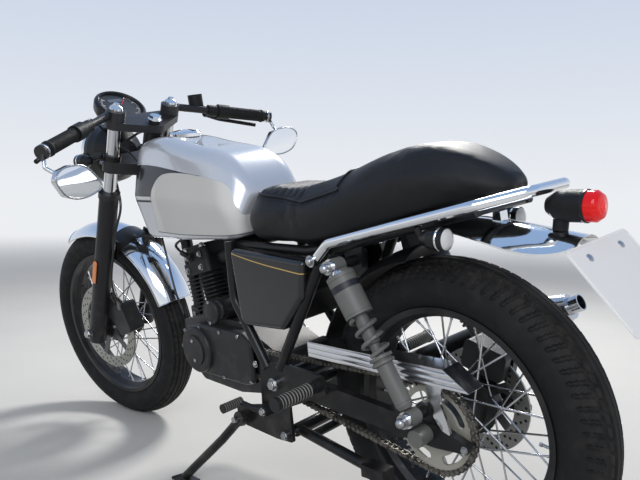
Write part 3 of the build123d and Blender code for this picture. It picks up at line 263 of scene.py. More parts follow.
def smooth_line(points, closed=False, parts=8):
    """Close points on a smooth curve through a few points."""
    spots = [Vector(point) for point in points]
    count = len(spots)
    line = []
    for number in range(count if closed else count - 1):
        a = spots[number - 1] if closed or number else spots[0] * 2 - spots[1]
        b = spots[number]
        c = spots[(number + 1) % count]
        d = spots[(number + 2) % count] if closed or number < count - 2 else c * 2 - b
        for part in range(parts):
            t = part / parts
            bend = (a * 2 - b * 5 + c * 4 - d) * t**2
            twist = (b * 3 - a - c * 3 + d) * t**3
            line.append((b * 2 + (c - a) * t + bend + twist) / 2)
    if not closed:
        line.append(spots[-1])
    return line


# Materials


class Wire:
    """A node's number output, which takes part in sums."""

    def __init__(self, graph, socket):
        self.graph = graph
        self.socket = socket

    def maths(self, operation, *others):
        node = self.graph.node("ShaderNodeMath", {"operation": operation}, [self, *others])
        return Wire(self.graph, node.outputs[0])

    def reversed_maths(self, operation, other):
        node = self.graph.node("ShaderNodeMath", {"operation": operation}, [other, self])
        return Wire(self.graph, node.outputs[0])

    def __add__(self, other):
        return self.maths("ADD", other)

    def __radd__(self, other):
        return self.maths("ADD", other)

    def __sub__(self, other):
        return self.maths("SUBTRACT", other)

    def __rsub__(self, other):
        return self.reversed_maths("SUBTRACT", other)

    def __mul__(self, other):
        return self.maths("MULTIPLY", other)

    def __rmul__(self, other):
        return self.maths("MULTIPLY", other)

    def __truediv__(self, other):
        return self.maths("DIVIDE", other)

    def __gt__(self, other):
        return self.maths("GREATER_THAN", other)

    def __lt__(self, other):
        return self.maths("LESS_THAN", other)

    def __abs__(self):
        return self.maths("ABSOLUTE")

    def between(self, low, high):
        return (self > low) * (self < high)

    def ramp(self, low, high):
        """0 below low and 1 above high, smooth between."""
        settings = {"interpolation_type": "SMOOTHSTEP"}
        inputs = {"Value": self, "From Min": low, "From Max": high}
        return Wire(self.graph, self.graph.node("ShaderNodeMapRange", settings, inputs).outputs["Result"])


def norm(*parts):
    """Length of a vector that has these wires as its parts."""
    total = parts[0] * parts[0]
    for part in parts[1:]:
        total = total + part * part
    return total.maths("SQRT")


class Graph:
    """The node tree of one material, or of the world."""

    def __init__(self, name, world=None):
        self.material = world or bpy.data.materials.new(name)
        self.material.use_nodes = True
        self.tree = self.material.node_tree
        self.shader = self.tree.nodes.get("Principled BSDF")

    def node(self, kind, settings=(), inputs=()):
        """A node with its settings, then its sockets' values or links, by name or in order."""
        node = self.tree.nodes.new(kind)
        for name, value in dict(settings).items():
            if name == "stops":
                stops = node.color_ramp.elements
                while len(stops) < len(value):
                    stops.new(1.0)
                for stop, (place, colour) in zip(stops, value):
                    stop.position = place
                    stop.color = (*colour, 1)
            elif name == "curve":
                line = node.mapping.curves[0]
                while len(line.points) < len(value):
                    line.points.new(0.5, 0.5)
                for point, spot in zip(line.points, value):
                    point.location = spot
                node.mapping.update()
            else:
                setattr(node, name, value)
        pairs = inputs.items() if isinstance(inputs, dict) else enumerate(inputs)
        for name, value in pairs:
            self.feed(node.inputs[name], value)
        return node

    def feed(self, socket, value):
        """Links a wire or output to an input, or gives the input a value."""
        if isinstance(value, Wire):
            self.tree.links.new(value.socket, socket)
        elif isinstance(value, bpy.types.NodeSocket):
            self.tree.links.new(value, socket)
        elif socket.type == "RGBA":
            socket.default_value = (*value[:3], 1)
        else:
            socket.default_value = value

    def set(self, **values):
        """Values or links of the shader's own sockets, with _ for each space."""
        for name, value in values.items():
            self.feed(self.shader.inputs[name.replace("_", " ")], value)

    def spot(self, place=None):
        """Coordinates in metres of the machine, or in millimetres of a local frame."""
        coordinates = self.node("ShaderNodeTexCoord").outputs["Object"]
        if place is None:
            return coordinates
        where, turn, size = place.inverted().decompose()
        settings = {"vector_type": "POINT"}
        inputs = {"Vector": coordinates, "Location": where, "Rotation": turn.to_euler("XYZ"), "Scale": size}
        return self.node("ShaderNodeMapping", settings, inputs).outputs[0]

    def split(self, vector):
        """The three numbers of a vector."""
        node = self.node("ShaderNodeSeparateXYZ", inputs=[vector])
        return [Wire(self, output) for output in node.outputs]

    def noise(self, vector, scale, detail=3.0, roughness=0.5):
        inputs = {"Vector": vector, "Scale": scale, "Detail": detail, "Roughness": roughness}
        return Wire(self, self.node("ShaderNodeTexNoise", inputs=inputs).outputs["Fac"])

    def smears(self, vector, scale):
        """Soft patches, as on handled metal."""
        return self.noise(vector, scale, 5.0).ramp(0.35, 0.9)

    def cells(self, vector, scale, feature="F1", output="Distance"):
        node = self.node("ShaderNodeTexVoronoi", {"feature": feature}, {"Vector": vector, "Scale": scale})
        return Wire(self, node.outputs[output])

    def mix(self, share, first, second):
        """Colour between two colours."""
        node = self.node("ShaderNodeMix", {"data_type": "RGBA"})
        self.feed(node.inputs[0], share)
        self.feed(node.inputs[6], first)
        self.feed(node.inputs[7], second)
        return node.outputs[2]

    def curve(self, value, points):
        """A number that follows a smooth line through pairs of numbers."""
        xs = [x for x, _ in points]
        ys = [y for _, y in points]
        low, high = min(ys), max(ys)
        span = max(high - low, 1e-6)
        line = [((x - xs[0]) / (xs[-1] - xs[0]), (y - low) / span) for x, y in points]
        share = (value - xs[0]) / (xs[-1] - xs[0])
        node = self.node("ShaderNodeFloatCurve", {"curve": line}, {"Value": share})
        return Wire(self, node.outputs[0]) * span + low

    def bump(self, height, strength, distance):
        inputs = {"Height": height, "Strength": strength, "Distance": distance}
        return self.node("ShaderNodeBump", inputs=inputs).outputs[0]

    def grain(self, vector, scale, detail, strength, distance):
        """Fine bumps all over the surface."""
        self.set(Normal=self.bump(self.noise(vector, scale, detail), strength, distance))


def shade(colour, amount):
    """The colour, darker below an amount of 1 and paler above it."""
    return tuple(max(0.0, min(1.0, part * amount)) for part in colour)


def plain(name, colour, roughness, metallic=0.0, coat=0.0, grain=None, mottle=0.08, dust=0.0, specular=0.5):
    """A finish with small changes of tone and gloss. grain is a scale per metre and a depth in metres."""
    graph = Graph(name)
    spot = graph.spot()
    tone = graph.noise(spot, 9.0, 4.0)
    fine = graph.noise(spot, 140.0, 3.0)
    base = graph.mix(tone, shade(colour, 1 - mottle), shade(colour, 1 + mottle))
    if dust:
        _, _, z = graph.split(spot)
        low = 1 - z.ramp(0.02, 0.55)
        patches = graph.noise(spot, 22.0, 5.0).ramp(0.42, 0.75)
        base = graph.mix(low * patches * dust, base, (0.42, 0.38, 0.33))
    gloss = roughness + (fine - 0.5) * 0.12 + (tone - 0.5) * 0.06
    graph.set(Base_Color=base, Roughness=gloss, Metallic=metallic, Coat_Weight=coat)
    graph.set(Specular_IOR_Level=specular)
    if coat:
        graph.set(Coat_Roughness=0.06)
    if grain:
        scale, depth = grain
        height = graph.noise(spot, scale, 4.0, 0.6)
        graph.set(Normal=graph.bump(height, 0.5, depth))
    return graph.material


# the front edge of the tank's knee panel, and the heights of the lines that cross its nose
KNEE_FRONT = 845
WHITE_LINE = (745.5, 753.0)
BLACK_LINE = (738.0, 743.5)


def tank_paint(look):
    """Pearl paint with a black swoosh, two pinstripes and a plain knee panel on each side. The panel has
    painted highlights on its front facet and rear edge, and a painted shadow line along its bottom.
    """
    graph = Graph("tank_paint")
    spot = graph.spot()
    x, _, z = graph.split(graph.spot(UPRIGHT))
    flakes, _, _ = graph.split(graph.cells(spot, 2600.0, output="Color").socket)
    pearl = graph.mix(flakes * 0.5, look.tank_colour, shade(look.tank_colour, 0.84))
    pearl = graph.mix(graph.noise(spot, 3.0, 2.0) * 0.3, pearl, (0.60, 0.64, 0.74))
    upper_line = [(630, 803), (700, 812), (774, 823), (850, 832), (903, 835), (960, 833), (1010, 815)]
    knee_line = [(494, 690), (500, 706), (516, 738), (547, 782), (580, 793), (640, 803), (700, 810)]
    knee_line += [(770, 812), (798, 808), (818, 798), (832, 782), (841, 760), (KNEE_FRONT, 720)]
    swoosh_top = graph.curve(x, upper_line)
    panel_top = graph.curve(x, knee_line)
    panel_low = graph.curve(x, [(494, 672), (700, 659), (KNEE_FRONT, 660), (1010, 664)])
    span = x.ramp(492, 496) * (1 - x.ramp(843, 846))
    panel = (panel_top - z).ramp(-0.8, 0.8) * (z - panel_low).ramp(-0.8, 0.8) * span
    nose = (x - KNEE_FRONT).ramp(-1.5, 1.5)
    patch_low = nose * WHITE_LINE[1] + (1 - nose) * panel_top
    swoosh = (swoosh_top - z).ramp(-0.6, 0.6) * (z - patch_low).ramp(-0.6, 0.6) * (x > 636)
    white_line = nose * z.between(*WHITE_LINE)
    black_line = nose * z.between(*BLACK_LINE)
    # painted shadow: a thin dark line along the bottom edge of the knee panel, standing in for the shade of
    # its recess
    painted_shadow_line = abs(z - panel_low + 1.5).ramp(1.6, 0.8) * span
    # dark holds the black swoosh and pinstripe, and also the painted shadow line under the panel
    dark = (swoosh + black_line + painted_shadow_line * 0.75).maths("MINIMUM", 1.0)
    # painted highlights: the panel's front facet and its slanted rear edge are drawn paler, as where light
    # falls on them
    painted_facet_highlight = (x + (z - 665) * -0.12 - 806).ramp(-5, 12)
    rear = 1 - (x - (z - 668) * 0.42 - 500).ramp(4, 44)
    flat = graph.mix(painted_facet_highlight * 0.75, look.panel_colour, shade(look.panel_colour, 1.22))
    flat = graph.mix(rear * 0.8, flat, shade(look.panel_colour, 1.28))
    base = graph.mix(panel, pearl, flat)
    base = graph.mix(dark, base, (0.012, 0.012, 0.014))
    base = graph.mix(white_line, base, (0.72, 0.73, 0.75))
    dull = panel * (1 - dark)
    graph.set(Base_Color=base, Roughness=0.26 - dark * 0.06 + dull * 0.22)
    graph.set(Metallic=0.40 * (1 - dark) * (1 - dull))
    graph.set(Coat_Weight=1.0 - dull * 0.75 - dark * 0.6, Coat_Roughness=0.04, Specular_IOR_Level=0.3)
    edge = panel * 1.4 + graph.noise(spot, 900.0, 2.0) * 0.05
    graph.set(Normal=graph.bump(edge, 0.6, 0.0012))
    return graph.material


def gloss_black():
    """Side cover paint with one thin gold line below the crease."""
    graph = Graph("gloss_black")
    spot = graph.spot()
    x, y, z = graph.split(graph.spot(UPRIGHT))
    line = graph.curve(x, [(262, 598), (330, 604), (400, 611), (470, 621), (520, 630)])
    gold = abs(z - line).ramp(1.4, 0.9) * x.between(272, 506)
    gold = gold * (abs(y) > 118)
    tone = graph.noise(spot, 6.0, 3.0)
    base = graph.mix(tone, (0.008, 0.008, 0.009), (0.016, 0.016, 0.018))
    base = graph.mix(gold, base, (0.72, 0.50, 0.18))
    graph.set(Base_Color=base, Roughness=0.16 + tone * 0.08, Metallic=gold, Coat_Weight=0.5)
    graph.set(Coat_Roughness=0.04, Specular_IOR_Level=0.35)
    graph.grain(spot, 700.0, 2.0, 0.05, 0.0005)
    return graph.material


def leather(look):
    """Black leather with a pebbled grain that opens at the creases."""
    graph = Graph("leather")
    spot = graph.spot()
    warp = graph.noise(spot, 60.0, 2.0)
    cells = graph.cells(spot, 620.0, "DISTANCE_TO_EDGE")
    small = graph.cells(spot, 1500.0, "DISTANCE_TO_EDGE")
    grain = cells.ramp(0.0, 0.22) * 0.7 + small.ramp(0.0, 0.3) * 0.3
    tone = graph.noise(spot, 5.0, 4.0)
    rubbed = graph.noise(spot, 14.0, 4.0).ramp(0.45, 0.8)
    base = graph.mix(tone, shade(look.seat_colour, 0.75), shade(look.seat_colour, 1.35))
    base = graph.mix((1 - grain) * 0.5, base, (0.004, 0.004, 0.004))
    graph.set(Base_Color=base, Roughness=0.40 + rubbed * 0.14 + warp * 0.05)
    graph.set(Specular_IOR_Level=0.28)
    graph.set(Normal=graph.bump(grain, 0.35, 0.0005))
    return graph.material


def chrome(name="chrome", colour=(0.86, 0.87, 0.88), roughness=0.06):
    """Bright plating with faint smears."""
    graph = Graph(name)
    spot = graph.spot()
    smear = graph.smears(spot, 18.0)
    fine = graph.noise(spot, 260.0, 2.0)
    base = graph.mix(smear * 0.5, colour, shade(colour, 0.9))
    graph.set(Base_Color=base, Metallic=1.0, Roughness=roughness + smear * 0.08 + fine * 0.03)
    graph.grain(spot, 35.0, 3.0, 0.03, 0.001)
    return graph.material


def cast(name, colour, roughness, metallic, look):
    """Painted or bare cast metal, paler along the edges that stand out."""
    graph = Graph(name)
    spot = graph.spot()
    _, _, z = graph.split(spot)
    sand = graph.noise(spot, 900.0, 4.0, 0.7)
    tone = graph.noise(spot, 12.0, 4.0)
    edge = Wire(graph, graph.node("ShaderNodeNewGeometry").outputs["Pointiness"]).ramp(0.53, 0.62)
    base = graph.mix(tone, shade(colour, 0.82), shade(colour, 1.18))
    base = graph.mix(edge * 0.35, base, shade(colour, 2.6))
    dirt = (1 - z.ramp(0.05, 0.5)) * graph.noise(spot, 30.0, 5.0).ramp(0.45, 0.8)
    base = graph.mix(dirt * look.road_dust, base, (0.30, 0.27, 0.23))
    graph.set(Base_Color=base, Metallic=metallic, Roughness=roughness + (sand - 0.5) * 0.2 + dirt * 0.1)
    graph.set(Specular_IOR_Level=0.3)
    graph.set(Normal=graph.bump(sand, 0.35, 0.0006))
    return graph.material


def tyre_rubber(look, axle_place, outer):
    """Tyre rubber, greyer with dust on the tread and with fine rings on its walls."""
    graph = Graph("tyre_rubber")
    spot = graph.spot()
    x, _, z = graph.split(graph.spot(axle_place))
    radius = norm(x, z)
    tread = radius.ramp(outer - 34, outer - 22)
    dust = graph.noise(spot, 45.0, 5.0).ramp(0.35, 0.75)
    base = graph.mix(graph.noise(spot, 10.0, 3.0), look.tyre_colour, shade(look.tyre_colour, 1.6))
    base = graph.mix(tread * dust * 0.5, base, (0.050, 0.046, 0.041))
    wear = (1 - tread) * graph.noise(spot, 26.0, 4.0).ramp(0.5, 0.8)
    base = graph.mix(wear * 0.35, base, (0.045, 0.042, 0.038))
    rings = (radius * 1.55).maths("SINE")
    wall = rings * 0.5 + graph.noise(spot, 500.0, 3.0)
    graph.set(Base_Color=base, Roughness=0.62 + dust * 0.18, Specular_IOR_Level=0.2)
    graph.set(Normal=graph.bump(wall, 0.20, 0.0008))
    return graph.material


def shock_paint(look):
    """Light grey covers with one dark band, a grey lower tube and bright eyes."""
    graph = Graph("shock_paint")
    spot = graph.spot()
    x, y, z = graph.split(graph.spot(UPRIGHT))
    ahead, up = (size / SHOCK_LENGTH for size in SHOCK_REACH)
    reach = (x - SHOCK_FOOT[0]) * ahead + (z - SHOCK_FOOT[1]) * up
    band = reach.between(262, 275)
    seam = reach.between(286, 287.5) + reach.between(214, 215) + reach.between(30, 31)
    tone = graph.noise(spot, 14.0, 4.0)
    base = graph.mix(tone, shade(look.shock_colour, 0.88), shade(look.shock_colour, 1.12))
    base = graph.mix(band, base, (0.016, 0.016, 0.024))
    base = graph.mix(seam.maths("MINIMUM", 1.0) * 0.7, base, (0.05, 0.05, 0.05))
    shaft = reach.between(124.5, 208)
    base = graph.mix(shaft * 0.35, base, (0.10, 0.10, 0.10))
    ends = (abs(y) > 162.6) * (1 - reach.between(18, 295))
    base = graph.mix(ends, base, (0.75, 0.76, 0.77))
    graph.set(Base_Color=base, Metallic=ends, Roughness=0.46 - ends * 0.32 + (tone - 0.5) * 0.1)
    graph.grain(spot, 800.0, 3.0, 0.15, 0.0004)
    return graph.material


def wheel_paint(look, name, place, rim_r):
    """Black rim and hub, joined by bright spokes."""
    graph = Graph(name)
    spot = graph.spot()
    x, _, z = graph.split(graph.spot(place))
    radius = norm(x, z)
    spoke = radius.ramp(58.6, 59.4) * (1 - radius.ramp(rim_r - 22.5, rim_r - 21.5))
    tone = graph.noise(spot, 30.0, 4.0)
    fine = graph.noise(spot, 500.0, 3.0)
    black = graph.mix(tone, (0.010, 0.010, 0.011), (0.020, 0.020, 0.021))
    dust = graph.noise(spot, 16.0, 5.0).ramp(0.45, 0.8) * look.road_dust
    black = graph.mix(dust * 0.4, black, (0.16, 0.14, 0.12))
    bright = graph.mix(tone, (0.50, 0.50, 0.51), (0.68, 0.68, 0.69))
    base = graph.mix(spoke, black, bright)
    graph.set(Base_Color=base, Metallic=spoke, Roughness=0.26 + fine * 0.12 - spoke * 0.08)
    graph.set(Coat_Weight=0.1, Specular_IOR_Level=0.3)
    graph.set(Normal=graph.bump(fine, 0.15, 0.0004))
    return graph.material


def ribbed_rubber(name, colour, first, last, pitch, across):
    """Rubber sleeve on a cross bar, with painted shade in the gaps between its ribs from the first to the
    last Y.
    """
    graph = Graph(name)
    spot = graph.spot()
    x, y, _ = graph.split(graph.spot(UPRIGHT))
    side = abs(y)
    on_sleeve = side.between(first, last) * x.between(*across)
    # painted shade: the gaps between the ribs are drawn near black
    shaded_gap = (((side - first) / pitch).maths("FRACT") > 0.5) * on_sleeve
    tone = graph.noise(spot, 40.0, 4.0)
    sleeve = graph.mix(tone, shade(colour, 0.8), shade(colour, 1.25))
    base = graph.mix(on_sleeve, (0.012, 0.012, 0.013), sleeve)
    base = graph.mix(shaded_gap, base, (0.020, 0.020, 0.020))
    graph.set(Base_Color=base, Roughness=0.46 + tone * 0.12, Specular_IOR_Level=0.4)
    graph.grain(spot, 1300.0, 4.0, 0.4, 0.0006)
    return graph.material


def headlamp_glass():
    """Fluted glass over a reflector, with painted reflections: light and dark stripes along the flutes and
    darker bands across.
    """
    graph = Graph("headlamp_glass")
    x, y, _ = graph.split(graph.spot(HEADLAMP))
    radius = norm(x, y)
    flutes = (x * 0.75).maths("SINE")
    bulb = radius.ramp(17, 15)
    rim = radius.ramp(74, 80)
    # painted reflection: the reflector behind the glass is drawn as light and dark stripes along the flutes
    # and darker bands
    bands = (abs(y) * 0.28).maths("SINE").ramp(0.2, 0.8)
    base = graph.mix(flutes * 0.5 + 0.5, (0.40, 0.42, 0.44), (0.78, 0.80, 0.82))
    base = graph.mix(bands * 0.35, base, (0.22, 0.23, 0.25))
    base = graph.mix(bulb, base, (0.12, 0.12, 0.13))
    base = graph.mix(rim, base, (0.55, 0.56, 0.57))
    graph.set(Base_Color=base, Metallic=0.75, Roughness=0.14 + abs(flutes) * 0.06, Coat_Weight=1.0)
    graph.set(Normal=graph.bump(flutes, 0.5, 0.0012))
    return graph.material


def mirror_metal():
    """Silver mirror shells and stems, with black caps in the bars' ends."""
    graph = Graph("mirror_metal")
    spot = graph.spot()
    x, y, z = graph.split(graph.spot(STEERED))
    start, end = bar_place(0, 1), bar_place(BAR_LENGTH, 1)
    way = (end - start).normalized()
    dx, dy, dz = x - start.x, abs(y) - start.y, z - start.z
    reach = dx * way.x + dy * way.y + dz * way.z
    radial = ((dx * dx + dy * dy + dz * dz) - reach * reach).maths("SQRT")
    cap = (reach > BAR_LENGTH + 4.97) * (radial < 18.6)
    smear = graph.smears(spot, 20.0)
    base = graph.mix(smear * 0.5, (0.72, 0.73, 0.75), (0.58, 0.59, 0.60))
    base = graph.mix(cap, base, (0.014, 0.014, 0.015))
    graph.set(Base_Color=base, Metallic=1 - cap, Roughness=0.16 + smear * 0.1 + cap * 0.2)
    graph.grain(spot, 300.0, 3.0, 0.05, 0.0004)
    return graph.material


def guard_chrome():
    """Chrome chain guard, pressed into long ridges on its outer side, with a painted dark blue reflection in
    the grooves between them.
    """
    graph = Graph("guard_chrome")
    spot = graph.spot()
    _, y, z = graph.split(graph.spot(UPRIGHT))
    outer_side = (y > 117) * z.between(413, 446)
    ridge = ((z - 412) * (2 * pi / 11.5)).maths("SINE") * outer_side
    # painted reflection and shade: the grooves between the ridges are drawn dark blue
    groove = ridge.ramp(-0.72, -0.97)
    smear = graph.smears(spot, 22.0)
    base = graph.mix(smear * 0.6, (0.80, 0.81, 0.83), (0.66, 0.67, 0.69))
    base = graph.mix(groove * 0.6, base, (0.16, 0.22, 0.36))
    graph.set(Base_Color=base, Metallic=1.0, Roughness=0.12 + smear * 0.10)
    graph.set(Normal=graph.bump(ridge, 0.3, 0.0010))
    return graph.material


def silencer_paint():
    """Black silencer with a bright end."""
    graph = Graph("silencer_paint")
    spot = graph.spot()
    _, _, reach = graph.split(graph.spot(UPRIGHT @ along(SILENCER_FRONT, SILENCER_END)))
    length = (SILENCER_END - SILENCER_FRONT).length
    tip = reach.ramp(length - 41, length - 39)
    tone = graph.noise(spot, 25.0, 4.0)
    heat = tip * (1 - reach.ramp(length - 38, length - 12))
    base = graph.mix(tone, (0.012, 0.012, 0.013), (0.022, 0.021, 0.020))
    base = graph.mix(tip, base, (0.62, 0.63, 0.65))
    base = graph.mix(heat * 0.6, base, (0.40, 0.28, 0.14))
    graph.set(Base_Color=base, Metallic=tip * 0.9 + 0.1, Roughness=0.34 - tip * 0.2 + tone * 0.08)
    graph.set(Specular_IOR_Level=0.3)
    graph.grain(spot, 500.0, 3.0, 0.12, 0.0004)
    return graph.material


def fender_chrome():
    """Chrome mudguard with its black bridge."""
    graph = Graph("fender_chrome")
    spot = graph.spot()
    x, _, z = graph.split(graph.spot(FRONT_HUB))
    turn = z.maths("ARCTAN2", x) * (180 / pi)
    bridge = turn.between(109.6, 121.4)
    smear = graph.smears(spot, 18.0)
    fine = graph.noise(spot, 300.0, 2.0)
    bright = graph.mix(smear * 0.5, (0.86, 0.87, 0.88), (0.76, 0.77, 0.78))
    base = graph.mix(bridge, bright, (0.014, 0.014, 0.015))
    gloss = 0.06 + smear * 0.08 + fine * 0.03 + bridge * 0.25
    graph.set(Base_Color=base, Metallic=1 - bridge, Roughness=gloss)
    graph.grain(spot, 35.0, 3.0, 0.03, 0.001)
    return graph.material


def brushed_disc(look, name, axle_place, inner, outer):
    """Brake disc: swept ring with fine turned lines and drilled holes painted dark as shade, darker carrier.
    """
    graph = Graph(name)
    spot = graph.spot()
    x, _, z = graph.split(graph.spot(axle_place))
    radius = norm(x, z)
    turn = z.maths("ARCTAN2", x) / (2 * pi)
    ring = radius.ramp(inner - 1, inner + 1)
    lines = graph.noise(graph.node("ShaderNodeCombineXYZ", inputs=[radius, 0.0, 0.0]).outputs[0], 1.2, 4.0)
    holes = None
    holes_round = 24
    for row in range(3):
        middle = inner + (outer - inner) * (0.24 + 0.26 * row)
        share = ((turn * holes_round + row / 3 + 40).maths("FRACT") - 0.5) * (2 * pi * middle / holes_round)
        away = radius - middle
        hole = norm(share, away).ramp(3.6, 3.0)
        holes = hole if holes is None else holes.maths("MAXIMUM", hole)
    tone = graph.noise(spot, 20.0, 3.0)
    base = graph.mix(ring, (0.14, 0.14, 0.15), look.disc_colour)
    base = graph.mix(tone * 0.4, base, shade(look.disc_colour, 0.6))
    # painted shade: the drilled holes are only drawn, in near black
    base = graph.mix(holes, base, (0.012, 0.012, 0.012))
    gloss = 0.30 + lines * 0.14 + (1 - ring) * 0.15 + holes * 0.3
    graph.set(Base_Color=base, Metallic=1 - holes, Roughness=gloss)
    graph.set(Normal=graph.bump(lines * 0.2 - holes, 0.6, 0.001))
    return graph.material


def lens(name, colour, place, rings=0.9, strength=0.0):
    """Moulded lens with rings on its face."""
    graph = Graph(name)
    x, y, _ = graph.split(graph.spot(place))
    radius = norm(x, y)
    wave = (radius * rings).maths("SINE")
    deep = radius.ramp(2.0, 26.0)
    base = graph.mix(deep, shade(colour, 1.5), colour)
    graph.set(Base_Color=base, Roughness=0.06 + abs(wave) * 0.05, Coat_Weight=0.3)
    graph.set(Transmission_Weight=0.1, IOR=1.49, Specular_IOR_Level=0.25)
    if strength:
        graph.set(Emission_Color=colour, Emission_Strength=strength)
    graph.set(Normal=graph.bump(wave, 0.25, 0.0006))
    return graph.material


def mirror_glass():
    """Silvered glass with the faintest smears."""
    graph = Graph("mirror_glass")
    smear = graph.noise(graph.spot(), 12.0, 4.0).ramp(0.4, 0.9)
    base = graph.mix(smear * 0.2, (0.90, 0.92, 0.95), (0.80, 0.83, 0.86))
    graph.set(Base_Color=base, Metallic=1.0, Roughness=0.015 + smear * 0.03)
    return graph.material


def chain_metal():
    """Plain steel under patches of dark grease."""
    graph = Graph("chain_steel")
    spot = graph.spot()
    grease = graph.noise(spot, 60.0, 4.0).ramp(0.4, 0.7)
    base = graph.mix(grease, (0.17, 0.155, 0.13), (0.035, 0.032, 0.030))
    graph.set(Base_Color=base, Metallic=0.7, Roughness=0.42 + grease * 0.25)
    graph.grain(spot, 600.0, 3.0, 0.2, 0.0004)
    return graph.material


def make_finishes(look):
    """Builds every finish in the given colours."""
    FINISH.update(
        tank=tank_paint(look),
        gloss=gloss_black(),
        frame=plain(
            "frame_paint", look.frame_colour, 0.30, coat=0.12, grain=(500.0, 0.0004), dust=0.12, specular=0.22
        ),
        plastic=plain(
            "black_plastic", (0.012, 0.012, 0.013), 0.46, grain=(1100.0, 0.0006), dust=0.12, specular=0.2
        ),
        satin=plain(
            "satin_black", (0.010, 0.010, 0.011), 0.30, coat=0.15, grain=(700.0, 0.0003), specular=0.25
        ),
        leather=leather(look),
        engine=cast("engine_paint", look.engine_colour, 0.42, 0.2, look),
        fins=cast("fin_paint", (0.014, 0.014, 0.015), 0.50, 0.15, look),
        dark_alloy=cast("black_alloy", (0.026, 0.026, 0.028), 0.36, 0.3, look),
        chrome=chrome(),
        steel=plain("steel", (0.46, 0.46, 0.46), 0.28, metallic=1.0, grain=(600.0, 0.0003), dust=0.1),
        stanchion=chrome("stanchion_chrome", (0.72, 0.73, 0.74), 0.10),
        spring=plain("spring_paint", look.shock_colour, 0.44, metallic=0.0, coat=0.1, mottle=0.12, dust=0.15),
        peg=ribbed_rubber("peg_rubber", (0.24, 0.235, 0.22), 162, 250, 8.0, (240, 284)),
        pedal=ribbed_rubber("pedal_rubber", (0.17, 0.165, 0.155), 150, 204, 6.0, (506, 534)),
        headlamp=headlamp_glass(),
        zinc=plain("zinc_grey", (0.17, 0.17, 0.16), 0.42, metallic=0.35, grain=(500.0, 0.0003), mottle=0.15),
        mirror_shell=mirror_metal(),
        front_wheel=wheel_paint(look, "front_wheel_paint", FRONT_HUB, FRONT_RIM_R),
        rear_wheel=wheel_paint(look, "rear_wheel_paint", REAR_HUB, REAR_RIM_R),
        fender=fender_chrome(),
        cable=plain("cable_black", (0.014, 0.014, 0.014), 0.36, coat=0.2),
        rubber=plain(
            "rubber",
            (0.014, 0.014, 0.014),
            0.60,
            grain=(1300.0, 0.0008),
            mottle=0.2,
            dust=0.15,
            specular=0.25,
        ),
        sprocket=plain(
            "sprocket_steel", (0.42, 0.41, 0.36), 0.48, metallic=0.30, grain=(400.0, 0.0004), dust=0.2
        ),
        chain=chain_metal(),
        red=lens("red_lens", (0.66, 0.003, 0.003), TAIL_LAMP, strength=0.2),
        clear=lens("clear_lens", (0.72, 0.73, 0.74), UPRIGHT, rings=0.5),
        amber=lens("amber_lens", (0.80, 0.22, 0.02), UPRIGHT, rings=0.7),
        plate=plain("plate_white", (0.86, 0.86, 0.86), 0.38, coat=0.3, grain=(300.0, 0.0002), mottle=0.02),
        mirror=mirror_glass(),
        shock=shock_paint(look),
        front_disc=brushed_disc(look, "front_disc_steel", FRONT_HUB, 104, 138),
        rear_disc=brushed_disc(look, "rear_disc_steel", REAR_HUB, 76, 110),
        front_tyre=tyre_rubber(look, FRONT_HUB, FRONT_TYRE[0]),
        rear_tyre=tyre_rubber(look, REAR_HUB, REAR_TYRE[0]),
        ink=plain("dial_ink", (0.82, 0.82, 0.80), 0.5),
        dial=plain("dial_black", (0.012, 0.013, 0.016), 0.35),
        glass=plain("display_glass", (0.10, 0.11, 0.13), 0.12, coat=1.0),
        pipe=plain("pipe_black", (0.022, 0.021, 0.020), 0.45, metallic=0.4, grain=(500.0, 0.0004), dust=0.15),
        silencer=silencer_paint(),
        guard=guard_chrome(),
    )


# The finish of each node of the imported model
NODE_FINISH = {
    "frame": [
        "frame_main",
        "frame_left",
        "frame_right",
        "seat_frame",
        "swingarm",
        "side_stand",
        "centre_stand",
        "battery_box",
    ],
    "tank": ["fuel_tank"],
    "gloss": ["side_covers"],
    "chrome": ["fuel_cap", "seat_rail", "tail_fender"],
    "guard": ["chain_guard"],
    "fender": ["front_fender"],
    "mirror_shell": ["mirrors"],
    "front_wheel": ["front_wheel"],
    "rear_wheel": ["rear_wheel"],
    "peg": ["footpegs"],
    "leather": ["seat"],
    "engine": ["crankcase", "engine_covers"],
    "fins": ["cylinder", "cylinder_head"],
    "dark_alloy": [
        "triple_clamps",
        "carburettor",
        "starter_motor",
        "fork_legs",
        "rear_caliper",
        "front_caliper",
        "clip_ons",
    ],
    "satin": ["headlamp", "instrument", "rear_indicators", "front_indicators"],
    "pedal": ["foot_pedals"],
    "plastic": ["inner_mudguard", "tail_lamp", "controls"],
    "pipe": ["exhaust_header"],
    "silencer": ["silencer"],
    "steel": ["front_axle", "pivot_bolts"],
    "zinc": ["rear_axle"],
    "stanchion": ["fork_stanchions"],
    "shock": ["shocks"],
    "spring": ["shock_springs"],
    "rubber": ["grips"],
    "sprocket": ["rear_sprocket"],
    "chain": ["chain"],
    "red": ["tail_lamp_lens"],
    "headlamp": ["headlamp_lens"],
    "plate": ["licence_plate"],
    "front_disc": ["front_disc"],
    "rear_disc": ["rear_disc"],
    "front_tyre": ["front_tyre"],
    "rear_tyre": ["rear_tyre"],
}


# Sizes and colours


